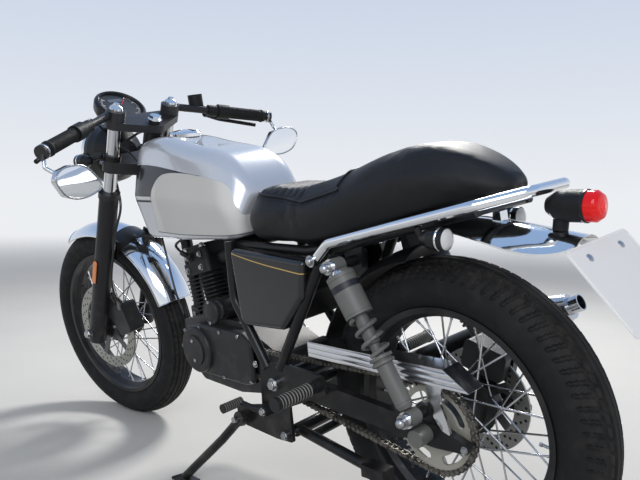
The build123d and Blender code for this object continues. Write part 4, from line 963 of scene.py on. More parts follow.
class CafeRacerLook(bpy.types.PropertyGroup):
    """Colours of the painted and covered pieces"""

    tank_colour: FloatVectorProperty(
        name="Tank",
        description="Pearl paint of the fuel tank",
        subtype="COLOR",
        default=(0.66, 0.68, 0.72),
        min=0,
        max=1,
    )
    panel_colour: FloatVectorProperty(
        name="Knee panel",
        description="Plain paint of the tank's sides",
        subtype="COLOR",
        default=(0.55, 0.55, 0.54),
        min=0,
        max=1,
    )
    seat_colour: FloatVectorProperty(
        name="Seat",
        description="Leather of the seat",
        subtype="COLOR",
        default=(0.011, 0.011, 0.012),
        min=0,
        max=1,
    )
    frame_colour: FloatVectorProperty(
        name="Frame",
        description="Paint of the frame and stands",
        subtype="COLOR",
        default=(0.012, 0.012, 0.013),
        min=0,
        max=1,
    )
    engine_colour: FloatVectorProperty(
        name="Engine",
        description="Paint of the engine's cases",
        subtype="COLOR",
        default=(0.030, 0.030, 0.032),
        min=0,
        max=1,
    )
    tyre_colour: FloatVectorProperty(
        name="Tyres",
        description="Rubber of the tyres",
        subtype="COLOR",
        default=(0.010, 0.010, 0.0105),
        min=0,
        max=1,
    )
    disc_colour: FloatVectorProperty(
        name="Discs",
        description="Steel of the brake discs",
        subtype="COLOR",
        default=(0.42, 0.42, 0.39),
        min=0,
        max=1,
    )
    shock_colour: FloatVectorProperty(
        name="Shocks",
        description="Paint of the shock absorbers and springs",
        subtype="COLOR",
        default=(0.135, 0.136, 0.130),
        min=0,
        max=1,
    )
    road_dust: FloatProperty(
        name="Road dust",
        description="Dust on the low pieces",
        subtype="FACTOR",
        default=0.35,
        min=0,
        max=1,
    )


class CafeRacerSizes(bpy.types.PropertyGroup):
    """Sizes of the seat and the treads"""

    groove_depth: FloatProperty(
        name="Tread depth",
        description="Depth of the tyres' grooves",
        subtype="DISTANCE",
        default=0.004,
        min=0.001,
        max=0.008,
    )
    pleat_pitch: FloatProperty(
        name="Pleat pitch",
        description="Distance between the seat's pleats",
        subtype="DISTANCE",
        default=0.022,
        min=0.01,
        max=0.06,
    )
    pleat_depth: FloatProperty(
        name="Pleat depth",
        description="Depth of the seat's pleats",
        subtype="DISTANCE",
        default=0.0035,
        min=0.0,
        max=0.01,
    )
    seat_swell: FloatProperty(
        name="Seat swell",
        description="Furthest that the stuffed seat may swell",
        subtype="DISTANCE",
        default=0.006,
        min=0.0,
        max=0.02,
    )
    welt_radius: FloatProperty(
        name="Welt radius",
        description="Radius of the piping on the seat",
        subtype="DISTANCE",
        default=0.0028,
        min=0.001,
        max=0.006,
    )
    tread_steps: IntProperty(
        name="Tread blocks",
        description="Shoulder blocks round the rear tyre",
        default=84,
        min=40,
        max=120,
    )


# Tyres


def tyre_line(outer, half, rim_r, bead_half, steps):
    """Points across a tyre, as pairs of radius and Y, from the left bead over the crown to the right one."""
    shoulder = outer - half
    wall_y = half - (half - bead_half) * 0.3
    left = []
    a = Vector((rim_r + 4, bead_half))
    b = Vector(((shoulder + rim_r) / 2, wall_y))
    c = Vector((shoulder, half))
    for number in range(steps):
        t = number / steps
        left.append(tuple(a * (2 * (t - 0.5) * (t - 1)) + b * (4 * t * (1 - t)) + c * (2 * t * (t - 0.5))))
    for number in range(steps * 3 + 1):
        turn = number / (steps * 3) * pi / 2
        left.append((shoulder + half * sin(turn), half * cos(turn)))
    return left + [(r, -y) for r, y in reversed(left[:-1])]


def rear_groove(across, round_share, blocks):
    """Share of the full groove depth at an arc distance from the crown and a place round the tyre."""
    side = abs(across)
    if side < 2.2 or 12.5 < side < 16.5 or 28.0 < side < 32.0:
        return 1.0
    share = (round_share * blocks + (0.5 if across < 0 else 0.0)) % 1.0
    if 16.5 <= side <= 28.0:
        slanted = (share + side / 40.0) % 1.0
        return 0.7 if slanted < 0.16 else 0.0
    if 32.0 <= side <= 66.0:
        slanted = (share + (side - 32.0) / 70.0) % 1.0
        return 1.0 if slanted < 0.34 else 0.0
    return 0.0


def front_groove(across, round_share, blocks):
    """The same for the front tyre, which has four rings of grooves and small side cuts."""
    side = abs(across)
    for low, high in ((4.5, 7.5), (17.0, 20.0), (30.0, 33.0), (44.0, 46.5)):
        if low < side < high:
            return 1.0
    share = (round_share * blocks + (0.5 if across < 0 else 0.0)) % 1.0
    if 33.0 <= side <= 44.0:
        return 0.8 if (share + side / 60.0) % 1.0 < 0.2 else 0.0
    return 0.0


def treaded_tyre(place, outer, half, rim_r, bead_half, groove, blocks, depth, round_steps):
    """Tyre with its tread cut as a fine grid."""
    line = tyre_line(outer, half, rim_r, bead_half, 12)
    shoulder = outer - half
    arcs = []
    for radius, y in line:
        turn = math.atan2(y, radius - shoulder) if radius >= shoulder else math.copysign(pi, y)
        arcs.append(half * turn)
    shape = Shape()
    rows = []
    for number in range(round_steps):
        share = number / round_steps
        turn = 2 * pi * share
        row = []
        for (radius, y), arc in zip(line, arcs):
            cut = groove(arc, share, blocks) * depth if abs(arc) < half * 1.35 else 0.0
            r, w = radius, y
            if cut:
                lean = arc / half
                r -= cut * cos(lean)
                w -= cut * sin(lean)
            row.append((r * cos(turn), w, r * sin(turn)))
        rows.append(row)
    shape.grid(place, rows, wrap_rows=True)
    return shape


class CAFERACER_OT_tyres(bpy.types.Operator):
    """Replace both plain tyres by tyres with a cut tread"""

    bl_idname = "caferacer.tyres"
    bl_label = "Treaded tyres"

    def execute(self, context):
        sizes = context.scene.cafe_racer_sizes
        depth = sizes.groove_depth * 1000
        blocks = sizes.tread_steps
        rear = treaded_tyre(REAR_HUB, *REAR_TYRE, rear_groove, blocks, depth, blocks * 8)
        tyre = piece("rear_tread", rear, "rear_wheel", "tyre", "rear_tyre", sharp=28)
        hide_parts("rear_tyre")
        front = treaded_tyre(FRONT_HUB, *FRONT_TYRE, front_groove, 90, depth * 0.8, 540)
        tyre = piece("front_tread", front, "front_wheel", "tyre", "front_tyre", sharp=28)
        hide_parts("front_tyre")
        return {"FINISHED"}


# Seat


SEAT_DIP = (290, 743)
SEAT_PIPING_END = 196
PLEATS = (282, 452)


def seat_top_line(x):
    """Height of the seam between the seat's top and its sides, which is lowest at the dip."""
    ahead = x - SEAT_DIP[0]
    if ahead > 0:
        return SEAT_DIP[1] + ahead * 0.083
    return SEAT_DIP[1] - ahead * 0.245


def cap_moves(mesh, rest, reach):
    """Keeps every point within reach of where it was."""
    for vertex, spot in zip(mesh.vertices, rest):
        move = vertex.co - spot
        if move.length > reach:
            vertex.co = spot + move.normalized() * reach


def stuffed_seat(swell, simulate):
    """Copy of the plain seat, remeshed, drawn in and blown up as cloth."""
    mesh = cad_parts["seat"].data.copy()
    mesh.name = "seat_cover"
    thing = bpy.data.objects.new("seat_cover", mesh)
    bpy.context.scene.collection.objects.link(thing)
    bpy.context.view_layer.objects.active = thing
    remesh = thing.modifiers.new("remesh", "REMESH")
    remesh.mode = "VOXEL"
    remesh.voxel_size = 0.005
    bpy.ops.object.modifier_apply(modifier=remesh.name)
    mesh = thing.data
    normals = [vertex.normal.copy() for vertex in mesh.vertices]
    for vertex, normal in zip(mesh.vertices, normals):
        vertex.co -= normal * (swell * 0.6)
    if simulate:
        rest = [vertex.co.copy() for vertex in mesh.vertices]
        cloth = thing.modifiers.new("stuffing", "CLOTH")
        cloth.settings.use_pressure = True
        cloth.settings.uniform_pressure_force = 4.0
        cloth.settings.effector_weights.gravity = 0.0
        cloth.settings.tension_stiffness = 30.0
        cloth.settings.quality = 4
        for number in range(1, 21):
            bpy.context.scene.frame_set(number)
        bpy.ops.object.modifier_apply(modifier=cloth.name)
        cap_moves(thing.data, rest, swell)
        bpy.context.scene.frame_set(1)
    smooth = thing.modifiers.new("smooth", "SMOOTH")
    smooth.iterations = 6
    bpy.ops.object.modifier_apply(modifier=smooth.name)
    finer = thing.modifiers.new("finer", "SUBSURF")
    finer.levels = 1
    bpy.ops.object.modifier_apply(modifier=finer.name)
    return thing


def pleated(thing, pitch, depth):
    """Sews cross pleats into the front of the seat's top, and pulls in a line below its seam."""
    into = UPRIGHT.inverted()
    mesh = thing.data
    normals = [vertex.normal.copy() for vertex in mesh.vertices]
    for vertex, normal in zip(mesh.vertices, normals):
        spot = into @ vertex.co
        seam = seat_top_line(spot.x)
        if 200 < spot.x < 470:
            close = abs(spot.z - seam)
            if close < 9 and abs(spot.y) > 60:
                vertex.co -= normal * (0.0016 * (1 - close / 9))
        if PLEATS[0] < spot.x < PLEATS[1] and spot.z > seam + 3:
            bowed = spot.x - 10 * (1 - (spot.y / 110) ** 2)
            share = ((bowed - 300) / (pitch * 1000)) % 1.0
            valley = 1 - abs(2 * share - 1)
            fade = min(1.0, (spot.z - seam - 3) / 8)
            fade = fade * min(1.0, (spot.x - PLEATS[0]) / 10) * min(1.0, (PLEATS[1] - spot.x) / 10)
            vertex.co -= normal * (depth * fade * (1 - valley) ** 3)


class CAFERACER_OT_seat(bpy.types.Operator):
    """Replace the plain seat by a stuffed leather one with pleats, piping and stitches"""

    bl_idname = "caferacer.seat"
    bl_label = "Leather seat"

    def execute(self, context):
        sizes = context.scene.cafe_racer_sizes
        thing = stuffed_seat(sizes.seat_swell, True)
        pleated(thing, sizes.pleat_pitch, sizes.pleat_depth)
        mesh = thing.data
        mesh.materials.clear()
        mesh.materials.append(FINISH["leather"])
        mesh.polygons.foreach_set("use_smooth", [True] * len(mesh.polygons))
        mesh.update()
        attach(thing, "chassis")
        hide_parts("seat")
        corners = [vertex.co.copy() for vertex in mesh.vertices]
        surface = BVHTree.FromPolygons(corners, [face.vertices[:] for face in mesh.polygons])
        trim = Shape()
        for side in (1, -1):
            seam = []
            for x in range(468, 180, -6):
                seam.append(self.skin(surface, x, side, seat_top_line(x), 0.0008))
            trim.tube(Matrix(), [p for p in seam if p], sizes.welt_radius, 8)
        stitches = Shape()
        for side in (1, -1):
            for x in range(464, 186, -5):
                here = self.skin(surface, x, side, seat_top_line(x) - 7, 0.0002)
                there = self.skin(surface, x - 3, side, seat_top_line(x - 3) - 7, 0.0002)
                if here and there:
                    stitches.tube(Matrix(), [here, there], 0.0006, 5)
        across = []
        for number in range(41):
            y = -92 + number * 4.6
            across.append(self.top_skin(surface, SEAT_PIPING_END - 8 * (1 - (y / 92) ** 2), y))
        trim.tube(Matrix(), [p for p in across if p], sizes.welt_radius, 8)
        piece("seat_welt", trim, "chassis", "leather", "leather")
        piece("seat_stitches", stitches, "chassis", "leather", "rubber")
        return {"FINISHED"}

    def skin(self, surface, x, side, z, proud):
        """Point on one side of the seat, or a little outside it."""
        start = UPRIGHT @ Vector((x, side * 200, z))
        way = (UPRIGHT @ Vector((x, 0, z)) - start).normalized()
        spot, normal, _, _ = surface.ray_cast(start, way)
        return spot + normal * proud if spot else None

    def top_skin(self, surface, x, y):
        """Point just above the seat's top."""
        start = UPRIGHT @ Vector((x, y, 900))
        way = (UPRIGHT @ Vector((x, y, 700)) - start).normalized()
        spot, normal, _, _ = surface.ray_cast(start, way)
        return spot + normal * 0.0008 if spot else None


# Chain and wheels


class CAFERACER_OT_drive(bpy.types.Operator):
    """Replace the plain chain by its side plates, rollers and pins"""

    bl_idname = "caferacer.drive"
    bl_label = "Chain"

    pitch = 12.7
    links = 118
    rear_teeth = 44
    drive_teeth = 15
    drive_ahead = 557.636
    drive_rise = 30.0
    line_y = 84

    def execute(self, context):
        self.rear_r = self.pitch / 2 / sin(pi / self.rear_teeth)
        self.drive_r = self.pitch / 2 / sin(pi / self.drive_teeth)
        self.distance = math.hypot(self.drive_ahead, self.drive_rise)
        self.leave = math.acos((self.rear_r - self.drive_r) / self.distance)
        self.slope = math.atan2(self.drive_rise, self.drive_ahead)
        shape = Shape()
        spots = [self.pin(number + 0.5) for number in range(self.links)]
        for number, spot in enumerate(spots):
            after = spots[(number + 1) % self.links]
            inner = number % 2
            level = 3.9 if inner else 5.5
            for side in (-1, 1):
                self.plate(shape, spot, after, side, level)
            centre = Matrix.Translation((spot[0], self.line_y, spot[1]))
            place = UPRIGHT @ centre @ Matrix.Rotation(pi / 2, 4, "X")
            shape.revolve(place, [(4.2, -3.7), (4.2, 3.7)], 12, 1)
            shape.revolve(place, [(0, -8.0), (2.0, -8.0), (2.4, -7.4), (2.4, -7.0)], 8, 1)
            shape.revolve(place, [(2.4, 7.0), (2.4, 7.4), (2.0, 8.0), (0, 8.0)], 8, 1)
        thing = piece("chain_links", shape, "chassis", "chain_steel", "chain", "zinc", sharp=30)
        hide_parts("chain")
        return {"FINISHED"}

    def plate(self, shape, start, end, side, level):
        """Waisted side plate from one pin to the next."""
        a = Vector((start[0], 0, start[1]))
        b = Vector((end[0], 0, end[1]))
        place = UPRIGHT @ basis(b - a, (0, side, 0), a + Vector((0, self.line_y, 0)))
        length = (b - a).length
        outline = []
        for number in range(9):
            turn = pi / 2 + pi * number / 8
            outline.append((5.6 * cos(turn), 5.6 * sin(turn)))
        outline.append((length / 2, -3.9))
        for number in range(9):
            turn = -pi / 2 + pi * number / 8
            outline.append((length + 5.6 * cos(turn), 5.6 * sin(turn)))
        outline.append((length / 2, 3.9))
        shape.prism(place, outline, level, level + 1.5, 0)

    def pin(self, number):
        """X and Z of a pin, counted in links round the loop from behind the rear sprocket."""
        place = number * self.pitch
        total = self.links * self.pitch
        straight = math.sqrt(self.distance**2 - (self.rear_r - self.drive_r) ** 2)
        rear_arc = self.rear_r * (pi - self.leave)
        drive_arc = self.drive_r * 2 * self.leave
        lower = place > rear_arc + straight + drive_arc / 2
        if lower:
            place = total - place
        if place < rear_arc:
            turn = pi - place / self.rear_r
            ahead, up = self.rear_r * cos(turn), self.rear_r * sin(turn)
        elif place < rear_arc + straight:
            share = (place - rear_arc) / straight
            radius = self.rear_r + (self.drive_r - self.rear_r) * share
            ahead = radius * cos(self.leave) + self.distance * share
            up = radius * sin(self.leave)
        else:
            turn = self.leave - (place - rear_arc - straight) / self.drive_r
            ahead = self.distance + self.drive_r * cos(turn)
            up = self.drive_r * sin(turn)
        if lower:
            up = -up
        x = ahead * cos(self.slope) - up * sin(self.slope)
        z = REAR_AXLE.z + ahead * sin(self.slope) + up * cos(self.slope)
        return (x, z)


class CAFERACER_OT_wheels(bpy.types.Operator):
    """Add spoke nipples, tyre valves and hub screws to both wheels"""

    bl_idname = "caferacer.wheels"
    bl_label = "Wheel details"

    spokes = 36
    spoke_slant = 62
    hub_r = 52
    valve_turn = 187
    disc_screws = 5
    screw_circle_r = 41
    nipple = [(3.4, 0), (3.4, 4), (2.8, 5), (2.8, 13), (0, 14)]
    valve = [(4, 0), (4, 14), (3, 15), (3, 28), (4, 29), (4, 34), (0, 35)]
    screw = [(6, 0), (6, 4), (5, 5), (3, 5), (3, 3), (0, 3)]

    def execute(self, context):
        # name, place, rim radius, half width of the hub's flanges, Y of the disc, body
        wheels = (
            ("front", FRONT_HUB, FRONT_RIM_R, 34, 60.5, "front_wheel"),
            ("rear", REAR_HUB, REAR_RIM_R, 38, -76.0, "rear_wheel"),
        )
        for name, place, rim_r, flange, disc_y, body in wheels:
            shape = Shape()
            for number in range(self.spokes):
                side = 1 if number % 2 else -1
                slant = 1 if number // 2 % 2 else -1
                out = radians(number * 360 / self.spokes)
                back = out + slant * radians(self.spoke_slant)
                hub_end = Vector((self.hub_r * cos(back), side * flange, self.hub_r * sin(back)))
                rim_end = Vector(((rim_r - 19) * cos(out), side * 6, (rim_r - 19) * sin(out)))
                way = (hub_end - rim_end).normalized()
                shape.revolve(place @ along(rim_end - way * 2, rim_end + way * 12), self.nipple, 8)
            out = radians(self.valve_turn)
            high = Vector(((rim_r - 16) * cos(out), 0, (rim_r - 16) * sin(out)))
            low = high * ((rim_r - 50) / (rim_r - 16))
            shape.revolve(place @ along(high, low), self.valve, 12)
            side = 1 if disc_y > 0 else -1
            for number in range(self.disc_screws):
                turn = radians(number * 360 / self.disc_screws + 30)
                reach = self.screw_circle_r
                spot = Vector((reach * cos(turn), disc_y + side * 2.2, reach * sin(turn)))
                shape.revolve(place @ facing(spot, (0, side, 0)), self.screw, 12)
            piece(f"{name}_nipples", shape, body, "steel", "steel")
        return {"FINISHED"}


class CAFERACER_OT_fender(bpy.types.Operator):
    """Add the rolled lip round the front mudguard"""

    bl_idname = "caferacer.fender"
    bl_label = "Mudguard lip"

    crown = 338.0
    edge = 304.0
    half = 64.0
    first = 66.0
    last = 162.0

    def execute(self, context):
        drop = self.crown - self.edge
        bow = (self.half**2 + drop**2) / (2 * drop)
        reach = math.asin(self.half / bow)
        loop = []
        for number in range(33):
            turn = self.first + (self.last - self.first) * number / 32
            loop.append(self.spot(turn, self.edge, self.half))
        for number in range(1, 12):
            side = reach * (1 - number / 6)
            loop.append(self.spot(self.last, self.crown - bow + bow * cos(side), bow * sin(side)))
        for number in range(33):
            turn = self.last - (self.last - self.first) * number / 32
            loop.append(self.spot(turn, self.edge, -self.half))
        for number in range(1, 12):
            side = reach * (number / 6 - 1)
            loop.append(self.spot(self.first, self.crown - bow + bow * cos(side), bow * sin(side)))
        lip = Shape()
        lip.tube(STEERED, loop, 2.2, 8, closed=True)
        piece("fender_lip", lip, "steering", "chrome", "chrome")
        return {"FINISHED"}

    def spot(self, turn, radius, y):
        """Point at an angle round the front axle, above its front when the angle is under 90."""
        return FRONT_AXLE + Vector((radius * cos(radians(turn)), y, radius * sin(radians(turn))))


# Fasteners


def hex_head(shape, place, size, height, finish=0):
    """Hexagon bolt head on a washer."""
    reach = size / 2 * 1.155
    outline = [(reach * cos(radians(60 * n)), reach * sin(radians(60 * n))) for n in range(6)]
    shape.revolve(place, [(size * 0.72, 0), (size * 0.72, 1.2), (0, 1.2)], 24, finish)
    shape.prism(place, outline, 1.2, height, finish, bevel=0.6)


def cap_screw(shape, place, size, height, finish=0):
    """Round head with a hexagon socket."""
    profile = [(size / 2, 0), (size / 2, height - 0.6), (size / 2 - 0.6, height)]
    profile += [(size * 0.28, height), (size * 0.28, height * 0.4), (0, height * 0.4)]
    shape.revolve(place, profile, 18, finish)


def dome_nut(shape, place, size, height, finish=0):
    """Domed nut on a washer."""
    profile = [(size * 0.8, 0), (size * 0.8, 1.5), (size * 0.56, 1.5), (size * 0.56, height * 0.5)]
    profile += [(size * 0.46, height * 0.78), (size * 0.26, height * 0.95), (0, height)]
    shape.revolve(place, profile, 24, finish)


HEADS = {"hex": hex_head, "cap": cap_screw, "dome": dome_nut}

# kind, size, height and places. These heads look away from the machine's middle.
SIDE_FASTENERS = (
    ("cap", 9, 5, [(812, 103, 347), (794, 103, 392), (728, 103, 409), (640, 103, 409)]),
    ("cap", 9, 5, [(566, 103, 409), (530, 103, 300), (640, 103, 291), (768, 103, 291)]),
    ("cap", 10, 3, [(744, 120, 374), (740, 120, 322)]),
    ("cap", 9, 5, [(806, -109, 342), (784, -109, 390), (716, -109, 414), (594, -109, 414)]),
    ("cap", 9, 5, [(551, -109, 374), (556, -109, 304), (606, -109, 273), (754, -109, 273)]),
    ("hex", 19, 8, [(400, 144, 335), (400, -144, 335)]),
    ("hex", 14, 6, [(385, 138, 214), (385, -138, 214)]),
    ("dome", 17, 16, [(165, 171, 628), (165, -171, 628), (5, 171, 357), (5, -171, 357)]),
    ("dome", 14, 9, [(232, 151, 632), (232, -151, 632)]),
    ("hex", 22, 10, [(0, -129, 315)]),
    ("hex", 10, 6, [(-84, 113, 304), (-84, -113, 304)]),
    ("cap", 12, 7, [(864, 20, 408), (864, -20, 408)]),
    ("dome", 10, 6, [(470, 132, 366)]),
    ("dome", 13, 7, [(262, 150, 359)]),
    ("hex", 13, 6, [(430, 158, 268)]),
)

# kind, size, height, way that the heads look and places, in the cylinder's frame
CYLINDER_FASTENERS = (
    ("dome", 13, 12, (0, 0, 1), [(40, 46, 174), (-40, 46, 174), (40, -46, 174), (-40, -46, 174)]),
    ("hex", 12, 7, (0, 1, 0), [(34, 59, 122), (-34, 59, 122)]),
    ("hex", 11, 7, (0, 1, 0), [(34, 52, 157), (-30, 52, 157)]),
    ("hex", 12, 7, (0, -1, 0), [(34, -59, 122), (-34, -59, 122)]),
)


class CAFERACER_OT_fasteners(bpy.types.Operator):
    """Add the bolts, nuts and screws that show, the generator's cover and the plug's lead"""

    bl_idname = "caferacer.fasteners"
    bl_label = "Fasteners"

    clutch_screws = 6
    clutch_centre = (650, -121, 345)
    clutch_screw_r = 57

    def execute(self, context):
        self.chassis()
        self.generator_cover()
        self.plug_lead()
        self.fork()
        return {"FINISHED"}

    def chassis(self):
        """Heads on the engine's covers, the frame, the shocks and the cylinder."""
        shape = Shape()
        for kind, size, height, spots in SIDE_FASTENERS:
            for spot in spots:
                outward = (0, math.copysign(1, spot[1]), 0)
                HEADS[kind](shape, UPRIGHT @ facing(spot, outward), size, height)
        for number in range(self.clutch_screws):
            turn = radians(number * 360 / self.clutch_screws + 15)
            x, y, z = self.clutch_centre
            spot = (x + self.clutch_screw_r * cos(turn), y, z + self.clutch_screw_r * sin(turn))
            cap_screw(shape, UPRIGHT @ facing(spot, (0, -1, 0)), 8, 4)
        for kind, size, height, way, spots in CYLINDER_FASTENERS:
            for spot in spots:
                HEADS[kind](shape, CYLINDER @ facing(spot, way), size, height)
        piece("chassis_fasteners", shape, "chassis", "steel", "steel")

    def generator_cover(self):
        """Ribbed round cover on the left, with its two screws."""
        cover = Shape()
        profile = [(0, 0), (31, 0), (32, 2), (32, 9), (30, 12), (26, 13.5)]
        profile += [(24, 12.6), (22, 13.6), (12, 15.6), (0, 16)]
        cover.revolve(UPRIGHT @ facing((672, 92, 456), (0, 1, 0)), profile, 48)
        for z in (483, 429):
            cap_screw(cover, UPRIGHT @ facing((672, 104, z), (0, 1, 0)), 9, 4, 1)
        piece("generator_cover", cover, "chassis", "engine_paint", "engine", "steel")

    def plug_lead(self):
        """Spark plug's cap on the left of the head, and its lead up under the tank."""
        plug = Shape()
        top = CYLINDER @ Vector((12, 50, 152))
        out = CYLINDER @ Vector((12, 74, 170))
        cap = [(0, 0), (9, 0), (9, 14), (7, 16), (7, 34), (5, 38), (0, 38)]
        plug.revolve(along(top, out) @ MILLIMETRES, cap, 20)
        line = [CYLINDER @ Vector(spot) for spot in ((12, 76, 172), (6, 92, 196))]
        line += [UPRIGHT @ Vector(spot) for spot in ((770, 84, 640), (730, 50, 654), (690, 24, 656))]
        plug.tube(Matrix(), smooth_line(line), 0.0035, 10)
        piece("plug_lead", plug, "chassis", "black_plastic", "cable")

    def fork(self):
        """Caps on the stanchions, clamp screws, axle nuts and the nut on the stem."""
        front = Shape()
        stanchion_cap = [(17.6, 0), (17.6, 3), (14, 7), (8, 10), (0, 11)]
        for side in (-1, 1):
            spot = Vector((0, side * FORK_HALF, 746))
            front.revolve(FORK @ Matrix.Translation(spot), stanchion_cap, 32, 1)
            hex_head(front, FORK @ facing(spot + Vector((0, 0, 9)), (0, 0, 1)), 14, 6, 1)
            for height in (577, 701):
                spot = Vector((18, side * 112, height))
                cap_screw(front, FORK @ facing(spot, (1, 0, 0)), 10, 12)
            spot = FRONT_AXLE + Vector((0, side * 137, 0))
            hex_head(front, STEERED @ facing(spot, (0, side, 0)), 19, 7)
        hex_head(front, FORK @ facing((-50, 0, 722), (0, 0, 1)), 28, 12, 1)
        piece("fork_fasteners", front, "steering", "steel", "steel", "chrome")


# Front end


def bar_place(distance, side):
    """Point along a handlebar at a distance from its ring."""
    spot = BAR_RING + (BAR_END - BAR_RING).normalized() * distance
    return Vector((spot.x, side * spot.y, spot.z))


class CAFERACER_OT_cockpit(bpy.types.Operator):
    """Add mirror glasses, grip ribs, the dial and the bands at the bars"""

    bl_idname = "caferacer.cockpit"
    bl_label = "Cockpit"

    mirror_place = (846, 380, 835)
    mirror_outline = [(56, -16), (40, -38), (4, -46), (-46, -36), (-88, 17), (-56, 35), (-10, 39), (34, 24)]
    grip_ribs = 22
    rib_pitch = 4.6
    dial_marks = 41
    dial_start = 225
    mark_pitch = 6.75
    mark_end = 58
    needle_turn = 222

    def execute(self, context):
        self.mirrors()
        self.grips()
        self.dial()
        return {"FINISHED"}

    def mirrors(self):
        """Domed glasses in their rims, turned towards the rider."""
        line = smooth_line([(x, y, 0) for x, y in self.mirror_outline], closed=True, parts=6)
        glass = Shape()
        for side in (-1, 1):
            local = basis((-0.2, 1, 0), (-1, -0.2, 0), self.mirror_place)
            flip = Matrix.Scale(-1, 4, (0, 1, 0)) if side < 0 else Matrix()
            place = STEERED @ flip @ local
            face = [(p.x * 0.92 - 1, p.y * 0.88) for p in line]
            count = len(face)
            points = [(x, y, 5.3) for x, y in face]
            points += [(x * 0.5, y * 0.5, 6.4) for x, y in face] + [(0, 0, 6.8)]
            faces = [[n, (n + 1) % count, count + (n + 1) % count, count + n] for n in range(count)]
            faces += [[count + n, count + (n + 1) % count, 2 * count] for n in range(count)]
            glass.add(place, points, faces, 0)
            glass.tube(place, [(p.x * 0.95 - 1, p.y * 0.92, 5.2) for p in line], 2.2, 8, 1, closed=True)
        piece("mirror_glasses", glass, "steering", "chrome", "mirror", "steel", sharp=60)

    def grips(self):
        """Ribs and collars of the grips, and the bands at both of their ends."""
        ribs = Shape()
        bands = Shape()
        for side in (-1, 1):
            for number in range(self.grip_ribs):
                start = BAR_LENGTH - 122 + number * self.rib_pitch
                rib = [(17.0, 0), (18.3, 0.5), (18.3, 2.5), (17.0, 3)]
                ribs.revolve(self.on_bar(start, start + 3, side), rib, 28)
            collar = [(17, 0), (20, 1.5), (20, 6), (17, 8)]
            ribs.revolve(self.on_bar(BAR_LENGTH - 20, BAR_LENGTH - 8, side), collar, 28)
            outer = [(18.1, 0), (18.8, 0.6), (18.8, 4.4), (18.1, 5)]
            bands.revolve(self.on_bar(BAR_LENGTH + 1, BAR_LENGTH + 12, side), outer, 32)
            inner = [(17.2, 0), (18.4, 0.6), (18.4, 4.4), (17.2, 5)]
            bands.revolve(self.on_bar(BAR_LENGTH - 136, BAR_LENGTH - 130, side), inner, 32)
        piece("grip_ribs", ribs, "steering", "rubber", "rubber")
        piece("grip_bands", bands, "steering", "steel", "steel")

    def on_bar(self, start, end, side):
        """Frame along a handlebar from one distance to another."""
        return STEERED @ along(bar_place(start, side), bar_place(end, side))

    def dial(self):
        """Dial with plain marks, a needle and a display, in its rim."""
        place = FORK @ basis((0, 1, 0), (-0.244, 0, 0.966), (105, 0, 696.5))
        face = Shape()
        face.revolve(place, [(63.5, 11.2), (0, 11.2)], 64, 0)
        face.revolve(place, [(76.2, 6), (76.8, 9), (75, 14), (70, 18), (66, 18), (64, 14)], 72, 1)
        face.revolve(place, [(64.4, 15.5), (65.6, 17.4), (66.6, 17.6), (67.4, 16.8)], 72, 4)
        for number in range(self.dial_marks):
            turn = self.dial_start - number * self.mark_pitch
            inner, half = (47, 1.0) if number % 5 == 0 else (52, 0.6)
            face.prism(place, self.hand(turn, inner, self.mark_end, half, half), 11.3, 11.7, 2)
        face.prism(place, self.hand(self.needle_turn, -12, 50, 1.6, 0.5), 12.4, 13.0, 3)
        face.revolve(place, [(6, 11.2), (6, 14), (0, 14.4)], 20, 1)
        face.prism(place, [(-24, -36), (24, -36), (24, -22), (-24, -22)], 11.3, 11.8, 5)
        finishes = ("dial", "satin", "ink", "red", "dark_alloy", "glass")
        piece("dial_face", face, "steering", "black_gloss", *finishes)

    def hand(self, turn, start, end, start_half, end_half):
        """Corners of a straight mark on the dial, with a half width at each end."""
        out = Vector((cos(radians(turn)), sin(radians(turn))))
        side = Vector((-out.y, out.x))
        near, far = out * start, out * end
        corners = [near - side * start_half, far - side * end_half]
        corners += [far + side * end_half, near + side * start_half]
        return [tuple(corner) for corner in corners]


def indicator_lens(shape, place):
    """Bright ring and clear domed lens of an indicator."""
    shape.revolve(place, [(20.2, 6), (21, 7), (21, 9), (20.2, 10)], 32, 0)
    shape.revolve(place, [(19.6, 10), (19.4, 19), (15, 24), (8, 26.4), (0, 27)], 32, 1)


class CAFERACER_OT_lamps(bpy.types.Operator):
    """Add the rims, lenses and reflectors of the lamps"""

    bl_idname = "caferacer.lamps"
    bl_label = "Lamps"

    def execute(self, context):
        front = Shape()
        rim = [(90.2, 34), (91.6, 38), (91.6, 45), (88, 50), (84.4, 51), (83.4, 46)]
        front.revolve(HEADLAMP, rim, 64, 0)
        for side in (-1, 1):
            spot = Vector((1140, side * 150, 866))
            indicator_lens(front, STEERED @ facing(spot, (1, 0, 0)))
            self.reflector(front, side)
        piece("front_lamp_trim", front, "steering", "chrome", "chrome", "clear", "amber", "satin")
        rear = Shape()
        for side in (-1, 1):
            spot = Vector((-60, side * 122, 688))
            indicator_lens(rear, UPRIGHT @ facing(spot, (-1, 0, 0)))
        rear.revolve(TAIL_LAMP, [(27.1, 56), (27.8, 57), (27.8, 61.4), (26.6, 62.4)], 40, 2)
        piece("rear_lamp_trim", rear, "chassis", "chrome", "chrome", "clear", "satin")
        return {"FINISHED"}

    def reflector(self, shape, side):
        """Oblong amber reflector on a black backing, outside a fork leg."""
        turn = radians(4)
        way = Vector((sin(turn), side * cos(turn), 0))
        spot = Vector((0, side * FORK_HALF, 226)) + way * 27
        place = FORK @ basis((0, 0, 1), way, spot)
        oblong = [(36, 11), (41, 6), (41, -6), (36, -11), (-36, -11), (-41, -6), (-41, 6), (-36, 11)]
        shape.prism(place, oblong, 0, 2.0, 3)
        shape.prism(place, [(x * 0.94, y * 0.8) for x, y in oblong], 1.5, 4.6, 2, bevel=1.2)


# Cables and plate

